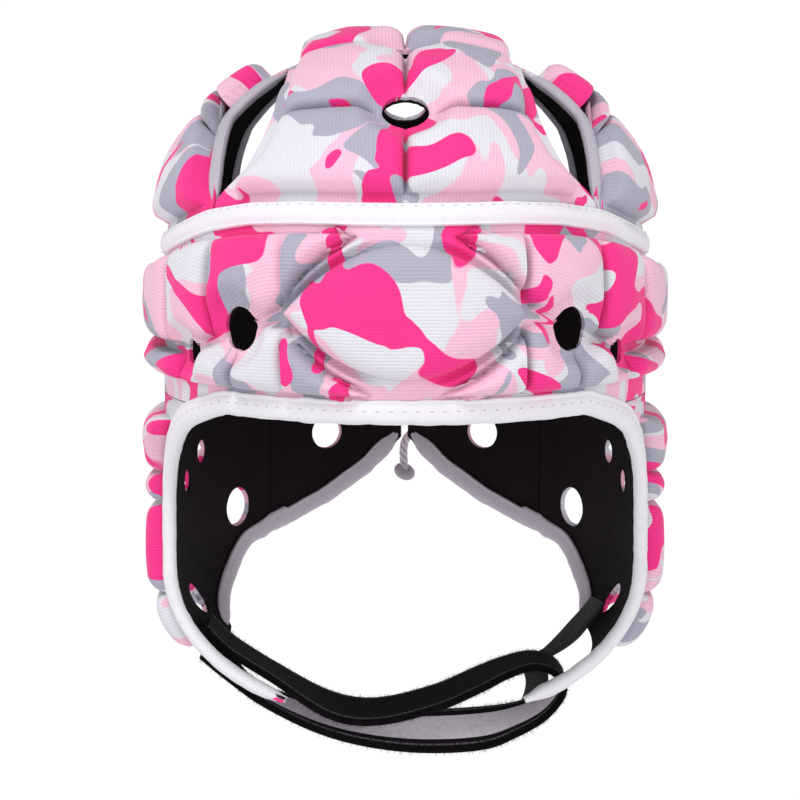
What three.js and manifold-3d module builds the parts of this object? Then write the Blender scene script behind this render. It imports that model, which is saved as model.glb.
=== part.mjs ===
// Padded rugby scrum cap, held in its worn form.
// Millimetres, +Z up, the face looks along -Y, and the origin is the inside of the crown's top.
import * as THREE from 'three';
import { mergeVertices } from 'three/addons/utils/BufferGeometryUtils.js';
import Module from 'manifold-3d';

const wasm = await Module();
wasm.setup();

// Head form: a dome over a straight band of side wall over a jaw that closes inwards
const headHalfWidth = 79;
const headFront = 92;
const headBack = 98;
const domeHeight = 78;
const sideDrop = 94;
const jawDrop = 48;
const jawForward = 25;
const domePower = 2.27;
const jawPower = 2.1;

// Walls, measured outwards from the head form
const liningThickness = 1.0;
const seamWall = 3.4;
const padWall = 10;
const clearance = 0.3;
const liningTrim = 0.9;
const liningSag = 1.7;

// Tapes, strap, webbing and lace
const tapeThickness = 1;
const browTapeWidth = 7;
const faceTapeWidth = 6.5;
const neckTapeWidth = 5;
const ventTapeWidth = 3.2;
const strapWidth = 25;
const strapThickness = 2.4;
const keeperWidth = 8;
const keeperThickness = 1.6;
const laceDiameter = 3;
const laceKnotDiameter = 7.5;

// Where the panels meet: rims stay flat for the seam or binding
const seamRim = 6;
const faceRim = 7.3;
const napeRim = 6.2;
const ventRim = 4.4;
const browDrop = 34;
const bandReach = 141;
const crownReach = 51.3;
const templeGap = 0.8;
const crownHalfWidth = 27.2;

const slitHalfWidth = 1.5;
const laceInset = 4.3;
const facetLength = 13.5;
const padSteps = 3;

const degrees = Math.PI / 180;
const lerp = THREE.MathUtils.lerp;

// Azimuths of the laced slit's margin and of the lace's turns in it
const slitEdge = 180 - slitHalfWidth / headBack / degrees;
const laceTurn = slitEdge - laceInset / headBack / degrees;

// Temple panel between the vents: its front and rear edges in degrees from the crown's top, and how
// far the middle of a row lies above its ends
const templeTop = crownHalfWidth + templeGap;
const templeRows = [
  { front: [templeTop, -3], rear: [templeTop, 17.5], lift: 0, groove: true },
  { front: [32, -5.5], rear: [32.5, 20], lift: 0, groove: true },
  { front: [44.3, -14], rear: [43, 26], lift: 5, groove: false },
  { front: [48.3, -27.5], rear: [47.3, 31], lift: 8, groove: true },
];

// The seam between the forehead band and the crown, as levels on the head form
const browSeam = [
  { azimuth: 0, level: 0.36 },
  { azimuth: 25, level: 0.362 },
  { azimuth: 38, level: 0.35 },
  { azimuth: 52, level: 0.313 },
  { azimuth: 64, level: 0.254 },
  { azimuth: 75, level: 0.205 },
  { azimuth: 90, level: 0.18 },
  { azimuth: 180, level: 0.18 },
];

// Cheek panel from the band down to the flap: how far round its front and rear edges lie, as shares
// of the band's reach, and how far down, as shares of the way from the band to the form's lowest level
const cheekRows = [
  { front: 0.323, frontDrop: 0, rear: 1, rearDrop: 0, groove: true },
  { front: 0.433, frontDrop: 0.046, rear: 1, rearDrop: 0.04, groove: true },
  { front: 0.496, frontDrop: 0.108, rear: 1, rearDrop: 0.108, groove: false },
  { front: 0.543, frontDrop: 0.18, rear: 1, rearDrop: 0.18, groove: true },
  { front: 0.564, frontDrop: 0.252, rear: 1, rearDrop: 0.252, groove: true },
  { front: 0.571, frontDrop: 0.336, rear: 1, rearDrop: 0.336, groove: false },
  { front: 0.567, frontDrop: 0.412, rear: 1, rearDrop: 0.406, groove: false },
  { front: 0.564, frontDrop: 0.469, rear: 0.947, rearDrop: 0.437, groove: true },
  { front: 0.553, frontDrop: 0.542, rear: 0.894, rearDrop: 0.506, groove: false },
  { front: 0.535, frontDrop: 0.615, rear: 0.844, rearDrop: 0.562, groove: true },
];
const neckCornerRow = 7;
const leftFlapEnd = [
  { front: 0.511, frontDrop: 0.704, rear: 0.812, rearDrop: 0.599, groove: true },
  { front: 0.482, frontDrop: 0.79, rear: 0.787, rearDrop: 0.636, groove: true },
];
const rightFlapEnd = [
  { front: 0.521, frontDrop: 0.672, rear: 0.8, rearDrop: 0.618, groove: true },
];

// Lower edge of the two rear panels: across from the cheek panel to the slit, and down in the cheek
// panels' shares
const neckEdge = [
  { across: 0.026, drop: 0.405 },
  { across: 0.184, drop: 0.387 },
  { across: 0.472, drop: 0.345 },
  { across: 0.761, drop: 0.28 },
  { across: 1, drop: 0.199 },
];
const rearMiddle = 0.472;

// Crown strip over the head, in degrees from its top: centre line, side edge, and how much
// wider than its narrowest half width
const crownRows = [
  { centre: -56, edge: -42.6, flare: 14, groove: false },
  { centre: -44.6, edge: -35.5, flare: 6, groove: true },
  { centre: -31, edge: -24, flare: 2.4, groove: false },
  { centre: -18.8, edge: -17, flare: 0.6, groove: true },
  { centre: 6, edge: 6, flare: 0, groove: true },
  { centre: 22, edge: 19, flare: 0.4, groove: false },
  { centre: 44.6, edge: 35.5, flare: 6, groove: true },
  { centre: 56, edge: 42.6, flare: 14, groove: false },
];

// Vent holes: place round the head, share of the panel's height, and diameter
const bandHoles = [
  { azimuth: 39, share: 0.434, diameter: 14 },
  { azimuth: 56, share: 0.305, diameter: 8 },
];
const cheekHoles = [
  { reach: 0.812, share: 0.183, diameter: 8 },
  { reach: 0.752, share: 0.238, diameter: 8 },
  { reach: 0.922, share: 0.336, diameter: 14 },
  { reach: 0.738, share: 0.534, diameter: 12 },
];
const rearHoles = [{ across: 0.46, share: 0.75, diameter: 12 }];
const crownHoles = [
  { across: 0, along: -44.6, diameter: 15 },
  { across: 0, along: -18.8, diameter: 12 },
  { across: 0, along: 44.6, diameter: 15 },
];

// Chin strap: levels where it lies on the outside of the left flap, its free route in shares of the
// form's half width and jaw with how much it leans down forwards, then levels inside the flap
const strapOuterLevels = [-1.4, -1.5];
const strapRoute = [
  { across: -0.59, down: 0.979, lean: 0 },
  { across: -0.316, down: 1.129, lean: 0.1 },
  { across: 0, down: 1.192, lean: 0.16 },
  { across: 0.316, down: 1.183, lean: 0.13 },
  { across: 0.481, down: 1.125, lean: 0.08 },
  { across: 0.608, down: 1.029, lean: 0.08 },
  { across: 0.681, down: 0.883, lean: 0 },
  { across: 0.643, down: 0.754, lean: 0 },
  { across: 0.551, down: 0.704, lean: 0 },
  { across: 0.443, down: 0.742, lean: 0.04 },
  { across: 0.316, down: 0.829, lean: 0.1 },
  { across: 0.127, down: 0.958, lean: 0.1 },
  { across: -0.127, down: 1.054, lean: 0.1 },
  { across: -0.329, down: 1.008, lean: 0.1 },
  { across: -0.565, down: 0.792, lean: 0 },
];
const strapInnerLevels = [-1.46, -1.39, -1.32];
const strapReach = 0.674;
const strapBack = -0.12;
const strapBow = 0.56;

// Webbing loop on the right flap that the strap turns round: how far round and down as on the cheek
// panel, and out of the form in its thicknesses
const keeperRoute = [
  { reach: 0.755, drop: 0.55, out: -2.1 },
  { reach: 0.766, drop: 0.632, out: -2 },
  { reach: 0.777, drop: 0.713, out: -0.8 },
  { reach: 0.785, drop: 0.757, out: -0.4 },
  { reach: 0.638, drop: 0.778, out: 0.2 },
  { reach: 0.525, drop: 0.783, out: 0.8 },
];

// Lace over the slit behind: turning places on either margin, as shares of the slit from its foot
const laceFoot = 0.114;
const laceRise = 0.139;
const laceCrossings = 5;
const laceTail = 11;

// Colours seen on the real thing
const camoPink = 0xf49ac4;
const tapeWhite = 0xf2f0f4;
const liningBlack = 0x211a20;
const strapBlack = 0x141114;
const laceGrey = 0xc9c4cc;

// Smooth curve through equally spaced values
function through(values, position) {
  const last = values.length - 1;
  const index = Math.min(Math.floor(position), last - 1);
  const local = position - index;
  const a = values[Math.max(index - 1, 0)];
  const b = values[index];
  const c = values[index + 1];
  const d = values[Math.min(index + 2, last)];
  const slopeB = (c - a) / 2;
  const slopeC = (d - b) / 2;
  const s = local * local * (3 - 2 * local);
  const hermiteB = local * (1 - local) * (1 - local);
  const hermiteC = local * local * (local - 1);
  return b + (c - b) * s + slopeB * hermiteB + slopeC * hermiteC;
}

// Value of a table's column at a key between its rows
function lookUp(table, key, column, at) {
  let row = 0;
  while (row < table.length - 2 && at > table[row + 1][key]) row += 1;
  const from = table[row];
  const to = table[row + 1];
  const share = (at - from[key]) / (to[key] - from[key]);
  return lerp(from[column], to[column], THREE.MathUtils.clamp(share, 0, 1));
}

// Round the head: azimuth from the face, then level, which is 1 at the crown's top, 0 at the dome's
// foot, -1 where the jaw starts and -2 at its lowest, then the distance out from the form
function aroundHead(azimuth, level, out) {
  const angle = azimuth * degrees;
  const width = headHalfWidth + out;
  const length = (Math.abs(azimuth) < 90 ? headFront : headBack) + out;
  let girth = 1;
  let z = level * sideDrop - domeHeight;
  let forward = 0;
  if (level > 0) {
    girth = (1 - level ** domePower) ** (1 / domePower);
    z = (domeHeight + out) * level - domeHeight;
  } else if (level < -1) {
    const sunk = Math.sin(((-level - 1) * Math.PI) / 2);
    girth = (1 - sunk ** jawPower) ** (1 / jawPower);
    z = -domeHeight - sideDrop - (jawDrop + out) * sunk;
    forward = jawForward * (1 - girth);
  }
  return new THREE.Vector3(width * girth * Math.sin(angle), -length * girth * Math.cos(angle) - forward, z);
}

// Level of a height above or below the dome's foot
const levelOf = (height) => height / (height > 0 ? domeHeight : sideDrop);

// Over the head: degrees across and along from the dome's top
function overHead(across, along, out) {
  const fall = Math.hypot(across, along) * degrees;
  const angle = Math.atan2(across, -along);
  const reach = (Math.sin(fall) ** domePower + Math.cos(fall) ** domePower) ** (-1 / domePower);
  const girth = Math.sin(fall) * reach;
  const width = headHalfWidth + out;
  const length = (along < 0 ? headFront : headBack) + out;
  const rise = (domeHeight + out) * Math.cos(fall) * reach;
  return new THREE.Vector3(
    width * girth * Math.sin(angle),
    -length * girth * Math.cos(angle),
    rise - domeHeight,
  );
}

// A place round the head in degrees across and along, so that crown pieces can meet the brow seam
function fromTop(azimuth, level) {
  const girth = (1 - level ** domePower) ** (1 / domePower);
  const fall = Math.atan2(girth, level) / degrees;
  return [fall * Math.sin(azimuth * degrees), -fall * Math.cos(azimuth * degrees)];
}

const seamHeight = (azimuth) => domeHeight * lookUp(browSeam, 'azimuth', 'level', Math.abs(azimuth));
const dropLevel = (share) => lerp(levelOf(-browDrop - clearance), -2, share);
const rearAzimuth = (across) => lerp(bandReach, slitEdge, across);
const bandLevel = (azimuth, share) => levelOf(lerp(-browDrop, seamHeight(azimuth) - clearance, share));

// Level on a rear panel at a share of the way from the brow seam to its lower edge
function rearLevel(azimuth, share) {
  const across = (azimuth - bandReach) / (slitEdge - bandReach);
  const foot = dropLevel(lookUp(neckEdge, 'across', 'drop', across));
  const top = seamHeight(azimuth) - clearance;
  const height = lerp(top, foot * sideDrop, share);
  return share === 1 ? foot : levelOf(height);
}

// Rounded cushion over a cell: nothing at its borders, full in the middle
const cushion = (share) => Math.sqrt(Math.max(0, 1 - Math.abs(2 * share - 1) ** 3));

// Grid lines of a panel: every border of the quilting, and equal steps between them
function gridLines(borders, lengthOf) {
  const lines = [];
  const last = borders.length - 2;
  for (let cell = 0; cell <= last; cell += 1) {
    const whole = Math.round(lengthOf(borders[cell], borders[cell + 1]) / facetLength);
    const onRim = cell === 0 || cell === last;
    const steps = Math.max(whole, onRim ? 1 : padSteps);
    for (let step = 0; step < steps; step += 1) {
      const share = step / steps;
      lines.push({ at: lerp(borders[cell], borders[cell + 1], share), cell, share });
    }
  }
  lines.push({ at: borders[last + 1], cell: last, share: 1 });
  return lines;
}

// Keeps a sheet's ends a little inside a panel's ends
function trimmer(borders, lengthOf) {
  const last = borders.length - 1;
  const first = (liningTrim * (borders[1] - borders[0])) / lengthOf(borders[0], borders[1]);
  const end = (liningTrim * (borders[last] - borders[last - 1])) / lengthOf(borders[last - 1], borders[last]);
  return (at) => THREE.MathUtils.clamp(at, borders[0] + first, borders[last] - end);
}

// Every second or third line, with the last one
function coarse(lines, step) {
  const last = lines.length - 1;
  return lines.map((_, index) => index).filter((index) => index % step === 0 || index === last);
}

// Closed wall between an outer grid of points and an inner one on fewer lines
function closedWall(outer, inner, rowPick, columnPick) {
  const positions = [];
  const indices = [];
  const add = (point) => positions.push(point.x, point.y, point.z) / 3 - 1;
  const outerIds = outer.map((row) => row.map(add));
  const innerIds = inner.map((row) => row.map(add));
  const quads = (ids, flip) => {
    for (let i = 0; i < ids.length - 1; i += 1) {
      for (let j = 0; j < ids[i].length - 1; j += 1) {
        const [a, b, c, d] = [ids[i][j], ids[i][j + 1], ids[i + 1][j + 1], ids[i + 1][j]];
        if (flip) indices.push(a, d, b, b, d, c);
        else indices.push(a, b, d, b, c, d);
      }
    }
  };
  quads(outerIds, false);
  quads(innerIds, true);
  const rim = (outerRun, innerRun, pick, flip) => {
    for (let k = 0; k < pick.length - 1; k += 1) {
      const triangles = [];
      for (let i = pick[k]; i < pick[k + 1]; i += 1) {
        triangles.push([outerRun[i], innerRun[k], outerRun[i + 1]]);
      }
      triangles.push([outerRun[pick[k + 1]], innerRun[k], innerRun[k + 1]]);
      for (const [a, b, c] of triangles) indices.push(...(flip ? [a, c, b] : [a, b, c]));
    }
  };
  const last = outerIds.length - 1;
  const side = outerIds[0].length - 1;
  rim(outerIds[0], innerIds[0], columnPick, false);
  rim(outerIds[last], innerIds[innerIds.length - 1], columnPick, true);
  rim(outerIds.map((row) => row[0]), innerIds.map((row) => row[0]), rowPick, true);
  rim(outerIds.map((row) => row[side]), innerIds.map((row) => row[row.length - 1]), rowPick, false);
  return facingOut(positions, indices);
}

// Geometry from points and triangles, turned so that its faces point out
function facingOut(positions, indices) {
  const geometry = new THREE.BufferGeometry();
  geometry.setAttribute('position', new THREE.Float32BufferAttribute(positions, 3));
  geometry.setIndex(indices);
  const [a, b, c] = [new THREE.Vector3(), new THREE.Vector3(), new THREE.Vector3()];
  let volume = 0;
  for (let i = 0; i < indices.length; i += 3) {
    a.fromArray(positions, indices[i] * 3);
    b.fromArray(positions, indices[i + 1] * 3);
    c.fromArray(positions, indices[i + 2] * 3);
    volume += a.dot(b.cross(c));
  }
  if (volume < 0) geometry.setIndex(flipped(indices));
  return geometry;
}

function flipped(indices) {
  const turned = [];
  for (let i = 0; i < indices.length; i += 3) turned.push(indices[i], indices[i + 2], indices[i + 1]);
  return turned;
}

// Quilted panel and its lining: cushions between the borders of a grid laid on the head form
function quiltedPanel({ rows, columns, place, isPad, padShare, sheetStep = 3 }) {
  const rowLength = (from, to) =>
    Math.max(...columns.map((column) => place(from, column, 0).distanceTo(place(to, column, 0))));
  const columnLength = (from, to) =>
    Math.max(...rows.map((row) => place(row, from, 0).distanceTo(place(row, to, 0))));
  const rowLines = gridLines(rows, rowLength);
  const columnLines = gridLines(columns, columnLength);
  const rowPick = coarse(rowLines, sheetStep);
  const columnPick = coarse(columnLines, sheetStep);
  const share = padShare ?? ((row, column) => cushion(row.share) * cushion(column.share));
  const wall = (row, column) => {
    const raised = isPad(row.cell, column.cell) ? share(row, column) : 0;
    return lerp(seamWall, padWall, raised);
  };
  const sheet = (picksRows, picksColumns, out) =>
    picksRows.map((i) => picksColumns.map((j) => place(rowLines[i].at, columnLines[j].at, out(i, j))));
  const rowTrim = trimmer(rows, rowLength);
  const columnTrim = trimmer(columns, columnLength);
  const trimmedSheet = (out) => rowPick.map((i) => {
    return columnPick.map((j) => place(rowTrim(rowLines[i].at), columnTrim(columnLines[j].at), out));
  });
  const allRows = rowLines.map((_, i) => i);
  const allColumns = columnLines.map((_, j) => j);
  const outer = sheet(allRows, allColumns, (i, j) => wall(rowLines[i], columnLines[j]));
  const inner = trimmedSheet(liningThickness + clearance);
  const liningOuter = trimmedSheet(liningThickness);
  const liningInner = trimmedSheet(0);
  const every = (pick) => pick.map((_, index) => index);
  return {
    panel: closedWall(outer, inner, rowPick, columnPick),
    lining: closedWall(liningOuter, liningInner, every(rowPick), every(columnPick)),
    rowLines: rowLines.map((line) => line.at),
    columnLines: columnLines.map((line) => line.at),
    place,
  };
}

function toManifold(geometry) {
  const bare = geometry.clone();
  bare.deleteAttribute('normal');
  bare.deleteAttribute('uv');
  const merged = mergeVertices(bare, 1e-4);
  return new wasm.Manifold(new wasm.Mesh({
    numProp: 3,
    vertProperties: Float32Array.from(merged.attributes.position.array),
    triVerts: Uint32Array.from(merged.index.array),
  }));
}

function fromManifold(solid) {
  const mesh = solid.getMesh();
  const geometry = new THREE.BufferGeometry();
  geometry.setAttribute('position', new THREE.BufferAttribute(Float32Array.from(mesh.vertProperties), 3));
  geometry.setIndex(Array.from(mesh.triVerts));
  return geometry;
}

// Round punch standing square on the head form
function punch(foot, head, diameter) {
  const sides = 8;
  const length = 4 * padWall;
  const cylinder = new THREE.CylinderGeometry(diameter / 2, diameter / 2, length, sides);
  const axis = head.clone().sub(foot).normalize();
  cylinder.applyQuaternion(new THREE.Quaternion().setFromUnitVectors(new THREE.Vector3(0, 1, 0), axis));
  cylinder.translate(foot.x, foot.y, foot.z);
  return cylinder;
}

function punched(geometry, punches) {
  let solid = toManifold(geometry);
  for (const tool of punches) solid = solid.subtract(toManifold(tool));
  return fromManifold(solid);
}

const punchAround = (azimuth, level, diameter) =>
  punch(aroundHead(azimuth, level, 0), aroundHead(azimuth, level, padWall), diameter);
const punchOver = ({ across, along, diameter }) =>
  punch(overHead(across, along, 0), overHead(across, along, padWall), diameter);
const bothSides = (holes) => holes.flatMap((hole) => [hole, { ...hole, azimuth: -hole.azimuth }]);

function mirrored(geometry) {
  const copy = geometry.clone();
  copy.scale(-1, 1, 1);
  copy.setIndex(flipped(Array.from(geometry.index.array)));
  return copy;
}

// Forehead band: a long lens pad in the middle, two rows of pads beside it
const lensReach = 26;
const lensFoot = 0.3;
const lensTop = 0.31;
const bandGroove = 0.052;
const bandGrooveRows = [
  { azimuth: lensReach, share: 0.498 },
  { azimuth: 39, share: 0.409 },
  { azimuth: 56, share: 0.279 },
  { azimuth: bandReach, share: 0.458 },
];

const bandColumns = [
  { lower: lensReach, upper: lensReach },
  { lower: 40.5, upper: 47.5 },
  { lower: 60, upper: 64 },
  { lower: 87, upper: 88 },
  { lower: 113, upper: 113 },
  { lower: bandReach - 3.5, upper: bandReach - 3.5 },
  { lower: bandReach, upper: bandReach },
];

// Azimuth on the band: columns are counted from the middle, and their lines step between the rows
function bandAzimuth(row, column) {
  const away = Math.abs(column);
  if (away <= 1) return column * lensReach;
  const index = Math.min(Math.floor(away), bandColumns.length - 1);
  const [from, to] = [bandColumns[index - 1], bandColumns[index]];
  const rise = THREE.MathUtils.smoothstep(row, 2, 3);
  const azimuth = (line) => lerp(line.lower, line.upper, rise);
  return Math.sign(column) * lerp(azimuth(from), azimuth(to), away - index);
}

function bandPanel() {
  const heightOf = (azimuth, share) => lerp(-browDrop, seamHeight(azimuth), share);
  const groove = (azimuth) => lookUp(bandGrooveRows, 'azimuth', 'share', Math.abs(azimuth));
  const lens = (azimuth) => Math.max(0, 1 - (azimuth / lensReach) ** 2);
  const lines = [
    () => -browDrop,
    () => -browDrop + faceRim,
    (azimuth) => heightOf(azimuth, groove(azimuth) - lensFoot * lens(azimuth)),
    (azimuth) => heightOf(azimuth, groove(azimuth) + bandGroove + lensTop * lens(azimuth)),
    (azimuth) => seamHeight(azimuth) - seamRim,
    (azimuth) => seamHeight(azimuth) - clearance,
  ];
  const half = bandColumns.map((_, index) => index + 1);
  const columns = [...half.map((column) => -column).reverse(), 0, ...half];
  const lensCells = [half.length - 1, half.length];
  const place = (row, column, out) => {
    const azimuth = bandAzimuth(row, column);
    const below = Math.min(Math.floor(row), lines.length - 2);
    const height = lerp(lines[below](azimuth), lines[below + 1](azimuth), row - below);
    return aroundHead(azimuth, levelOf(height), out);
  };
  const isPad = (row, column) => {
    const inLens = lensCells.includes(column);
    const onRim = column === 0 || column === columns.length - 2;
    if (onRim || row === 0 || row === lines.length - 2) return false;
    return row !== 2 || inLens;
  };
  const padShare = (row, column) => {
    if (!lensCells.includes(column.cell) || row.cell !== 2) return cushion(row.share) * cushion(column.share);
    const across = column.cell === lensCells[0] ? column.share / 2 : (1 + column.share) / 2;
    return cushion(row.share) * cushion(across);
  };
  return quiltedPanel({ rows: lines.map((_, i) => i), columns, place, isPad, padShare });
}

// Share of a row that a rim of fixed width takes at one end, where the edge may cross the row aslant
function rimShare(between, row, end, rim) {
  const probe = 0.02;
  const at = between(row, end, 0);
  const inside = between(row, Math.abs(end - probe), 0).sub(at);
  const onward = between(row + probe, end, 0).sub(at);
  const slant = inside.clone().cross(onward).length() / (inside.length() * onward.length());
  return Math.min((probe * rim) / (inside.length() * slant), 0.35);
}

// Moves a column's share so that the first and last columns are rims of fixed width
function rimmed(columns, share, front, rear) {
  const [rimEnd, rimStart] = [columns[1], columns[columns.length - 2]];
  if (share < rimEnd) return (front * share) / rimEnd;
  if (share > rimStart) return lerp(1 - rear, 1, (share - rimStart) / (1 - rimStart));
  return lerp(front, 1 - rear, (share - rimEnd) / (rimStart - rimEnd));
}

// Crown strip: from the brow seam over the head to the same seam behind
function crownPanel() {
  const seamRow = (sign, lift) => (side) => {
    const azimuth = side * crownReach;
    const heading = sign < 0 ? azimuth : 180 - azimuth;
    return fromTop(heading, levelOf(seamHeight(heading) + lift));
  };
  const stripRow = ({ centre, edge, flare }) => (side) =>
    [side * (crownHalfWidth + flare), lerp(centre, edge, side * side)];
  const rowCurves = [
    seamRow(-1, clearance),
    seamRow(-1, seamRim),
    ...crownRows.map(stripRow),
    seamRow(1, seamRim),
    seamRow(1, clearance),
  ];
  const last = rowCurves.length - 1;
  const borders = [0, 1];
  crownRows.forEach((row, index) => {
    if (row.groove) borders.push(index + 2);
  });
  borders.push(last - 1, last);
  const place = (row, side, out) => {
    const below = Math.min(Math.floor(row), last - 1);
    const inRim = below === 0 || below === last - 1;
    const pick = (axis) => {
      if (inRim) return lerp(rowCurves[below](side)[axis], rowCurves[below + 1](side)[axis], row - below);
      return through(rowCurves.map((curve) => curve(side)[axis]), row);
    };
    return overHead(pick(0), pick(1), out);
  };
  const columns = [-1, -0.9, 0, 0.9, 1];
  const isPad = (row, column) => {
    return row > 0 && row < borders.length - 2 && column > 0 && column < columns.length - 2;
  };
  return quiltedPanel({ rows: borders, columns, place, isPad, sheetStep: 2 });
}

// Side of the crown: from the strip's edge down to the brow seam, between the front and rear vents
function templePanel() {
  const reach = crownReach + 1;
  const onSeam = (lift) => (share) => {
    const azimuth = lerp(reach, 180 - reach, share);
    return fromTop(azimuth, levelOf(seamHeight(azimuth) + lift));
  };
  const polar = ([across, along]) => [Math.hypot(across, along), Math.atan2(across, -along)];
  const onArc = ({ front, rear, lift }) => (share) => {
    const [fallFront, angleFront] = polar(front);
    const [fallRear, angleRear] = polar(rear);
    const fall = lerp(fallFront, fallRear, share) - 4 * lift * share * (1 - share);
    const angle = lerp(angleFront, angleRear, share);
    return [fall * Math.sin(angle), -fall * Math.cos(angle)];
  };
  const straight = ({ front, rear }) => (share) => [
    lerp(front[0], rear[0], share),
    lerp(front[1], rear[1], share),
  ];
  const rowCurves = [
    ...templeRows.slice(0, 2).map(straight),
    ...templeRows.slice(2).map(onArc),
    onSeam(seamRim),
    onSeam(clearance),
  ];
  const rows = rowCurves.map((_, index) => index).filter((index) => templeRows[index]?.groove !== false);
  const chart = (row, share) => {
    const below = Math.min(Math.floor(row), rowCurves.length - 2);
    const from = rowCurves[below](share);
    const to = rowCurves[below + 1](share);
    return [lerp(from[0], to[0], row - below), lerp(from[1], to[1], row - below)];
  };
  const between = (row, share, out) => overHead(...chart(row, share), out);
  const columns = [0, 0.1, 0.5, 0.9, 1];
  const place = (row, share, out) => {
    const [front, rear] = [rimShare(between, row, 0, ventRim), rimShare(between, row, 1, ventRim)];
    return between(row, rimmed(columns, share, front, rear), out);
  };
  const isPad = (row, column) => row > 0 && row < rows.length - 2 && column > 0 && column < columns.length - 2;
  return { ...quiltedPanel({ rows, columns, place, isPad }), chart };
}

// Cheek and ear panel: rows run from the face opening back to the rear panel
function cheekPanel(flapEnd) {
  const table = [...cheekRows, ...flapEnd];
  const borders = table.map((row, index) => (row.groove ? index : -1)).filter((index) => index >= 0);
  const column = (key) => table.map((row) => row[key]);
  const chart = (row, share) => {
    const azimuth = bandReach * lerp(through(column('front'), row), through(column('rear'), row), share);
    const drop = lerp(through(column('frontDrop'), row), through(column('rearDrop'), row), share);
    return [azimuth, dropLevel(drop)];
  };
  const between = (row, share, out) => aroundHead(...chart(row, share), out);
  const columns = [0, 0.1, 0.5, 0.9, 1];
  const place = (row, share, out) => {
    const [front, rear] = [rimShare(between, row, 0, faceRim), rimShare(between, row, 1, napeRim)];
    return between(row, rimmed(columns, share, front, rear), out);
  };
  const isPad = (row, col) => {
    return row > 0 && borders[row + 1] < cheekRows.length && col > 0 && col < columns.length - 2;
  };
  return { ...quiltedPanel({ rows: borders, columns, place, isPad }), chart };
}

// Rear panel: from the cheek panel to the laced slit
function rearPanel() {
  const shares = [0, 0.07, 0.35, 0.63, 0.91, 1];
  const columns = [bandReach + 0.4, bandReach + 4.4, rearAzimuth(rearMiddle), slitEdge - 4.2, slitEdge];
  const place = (row, azimuth, out) => {
    const below = Math.min(Math.floor(row), shares.length - 2);
    const share = lerp(shares[below], shares[below + 1], row - below);
    return aroundHead(azimuth, rearLevel(azimuth, share), out);
  };
  const isPad = (row, col) => row > 0 && row < shares.length - 2 && col > 0 && col < columns.length - 2;
  return quiltedPanel({ rows: shares.map((_, i) => i), columns, place, isPad });
}

// Places along an edge line of a chart: each one takes millimetres into the panel and out of the form
function edgeSpots(chart, line, inwardSign, closed = false) {
  const count = line.length;
  const probe = 0.001;
  const points = line.map(([u, v]) => chart(u, v, 0));
  return line.map(([u, v], index) => {
    const point = points[index];
    const alongU = chart(u + probe, v, 0).sub(point).divideScalar(probe);
    const alongV = chart(u, v + probe, 0).sub(point).divideScalar(probe);
    const normal = alongU.clone().cross(alongV).normalize();
    if (normal.dot(chart(u, v, 1).sub(point)) < 0) normal.negate();
    const before = closed ? (index + count - 1) % count : Math.max(index - 1, 0);
    const after = closed ? (index + 1) % count : Math.min(index + 1, count - 1);
    const into = (from, to) =>
      normal.clone().cross(points[to].clone().sub(points[from])).normalize().multiplyScalar(inwardSign);
    const first = before === index ? into(index, after) : into(before, index);
    const second = after === index ? into(before, index) : into(index, after);
    const inward = first.clone().add(second).divideScalar(1 + first.dot(second));
    const [uu, uv, vv] = [alongU.dot(alongU), alongU.dot(alongV), alongV.dot(alongV)];
    const [iu, iv] = [inward.dot(alongU), inward.dot(alongV)];
    const scale = uu * vv - uv * uv;
    const [stepU, stepV] = [(iu * vv - iv * uv) / scale, (iv * uu - iu * uv) / scale];
    return (into, out) => chart(u + into * stepU, v + into * stepV, out);
  });
}

// Solid of one section carried along places; section points are [into the panel, out of the form]
function sweep(spots, section, closed = false) {
  const positions = [];
  const indices = [];
  const size = section.length;
  for (const spot of spots) {
    for (const [into, out] of section) {
      const corner = spot(into, out);
      positions.push(corner.x, corner.y, corner.z);
    }
  }
  const spans = closed ? spots.length : spots.length - 1;
  for (let i = 0; i < spans; i += 1) {
    const next = (i + 1) % spots.length;
    for (let k = 0; k < size; k += 1) {
      const a = i * size + k;
      const b = i * size + (k + 1) % size;
      const c = next * size + (k + 1) % size;
      const d = next * size + k;
      indices.push(a, b, d, b, c, d);
    }
  }
  if (!closed) {
    const outline = section.map(([into, out]) => new THREE.Vector2(into, out));
    const caps = THREE.ShapeUtils.triangulateShape(outline, []);
    const last = (spots.length - 1) * size;
    const turn = THREE.ShapeUtils.area(outline) > 0;
    for (const [a, b, c] of caps) {
      indices.push(...(turn ? [a, c, b] : [a, b, c]));
      indices.push(...(turn ? [last + a, last + b, last + c] : [last + a, last + c, last + b]));
    }
  }
  return facingOut(positions, indices);
}

// Folded binding round a panel's edge: two legs and a back
function bindingSection(width) {
  const inside = -clearance - liningSag;
  const outside = seamWall + clearance;
  return [
    [-clearance - tapeThickness, inside - tapeThickness],
    [width, inside - tapeThickness],
    [width, inside],
    [-clearance, inside],
    [-clearance, outside],
    [width, outside],
    [width, outside + tapeThickness],
    [-clearance - tapeThickness, outside + tapeThickness],
  ];
}

// Room that a binding needs: a panel or lining is cut back to it
function bindingRoom(spots, width) {
  const [far, near] = [padWall, 0.05];
  const section = [
    [-far, -far],
    [width + clearance, -far],
    [width + clearance, -liningSag],
    [-near, -liningSag],
    [-near, seamWall + near],
    [width + clearance, seamWall + near],
    [width + clearance, padWall + far],
    [-far, padWall + far],
  ];
  return sweep(spots, section);
}

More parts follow.
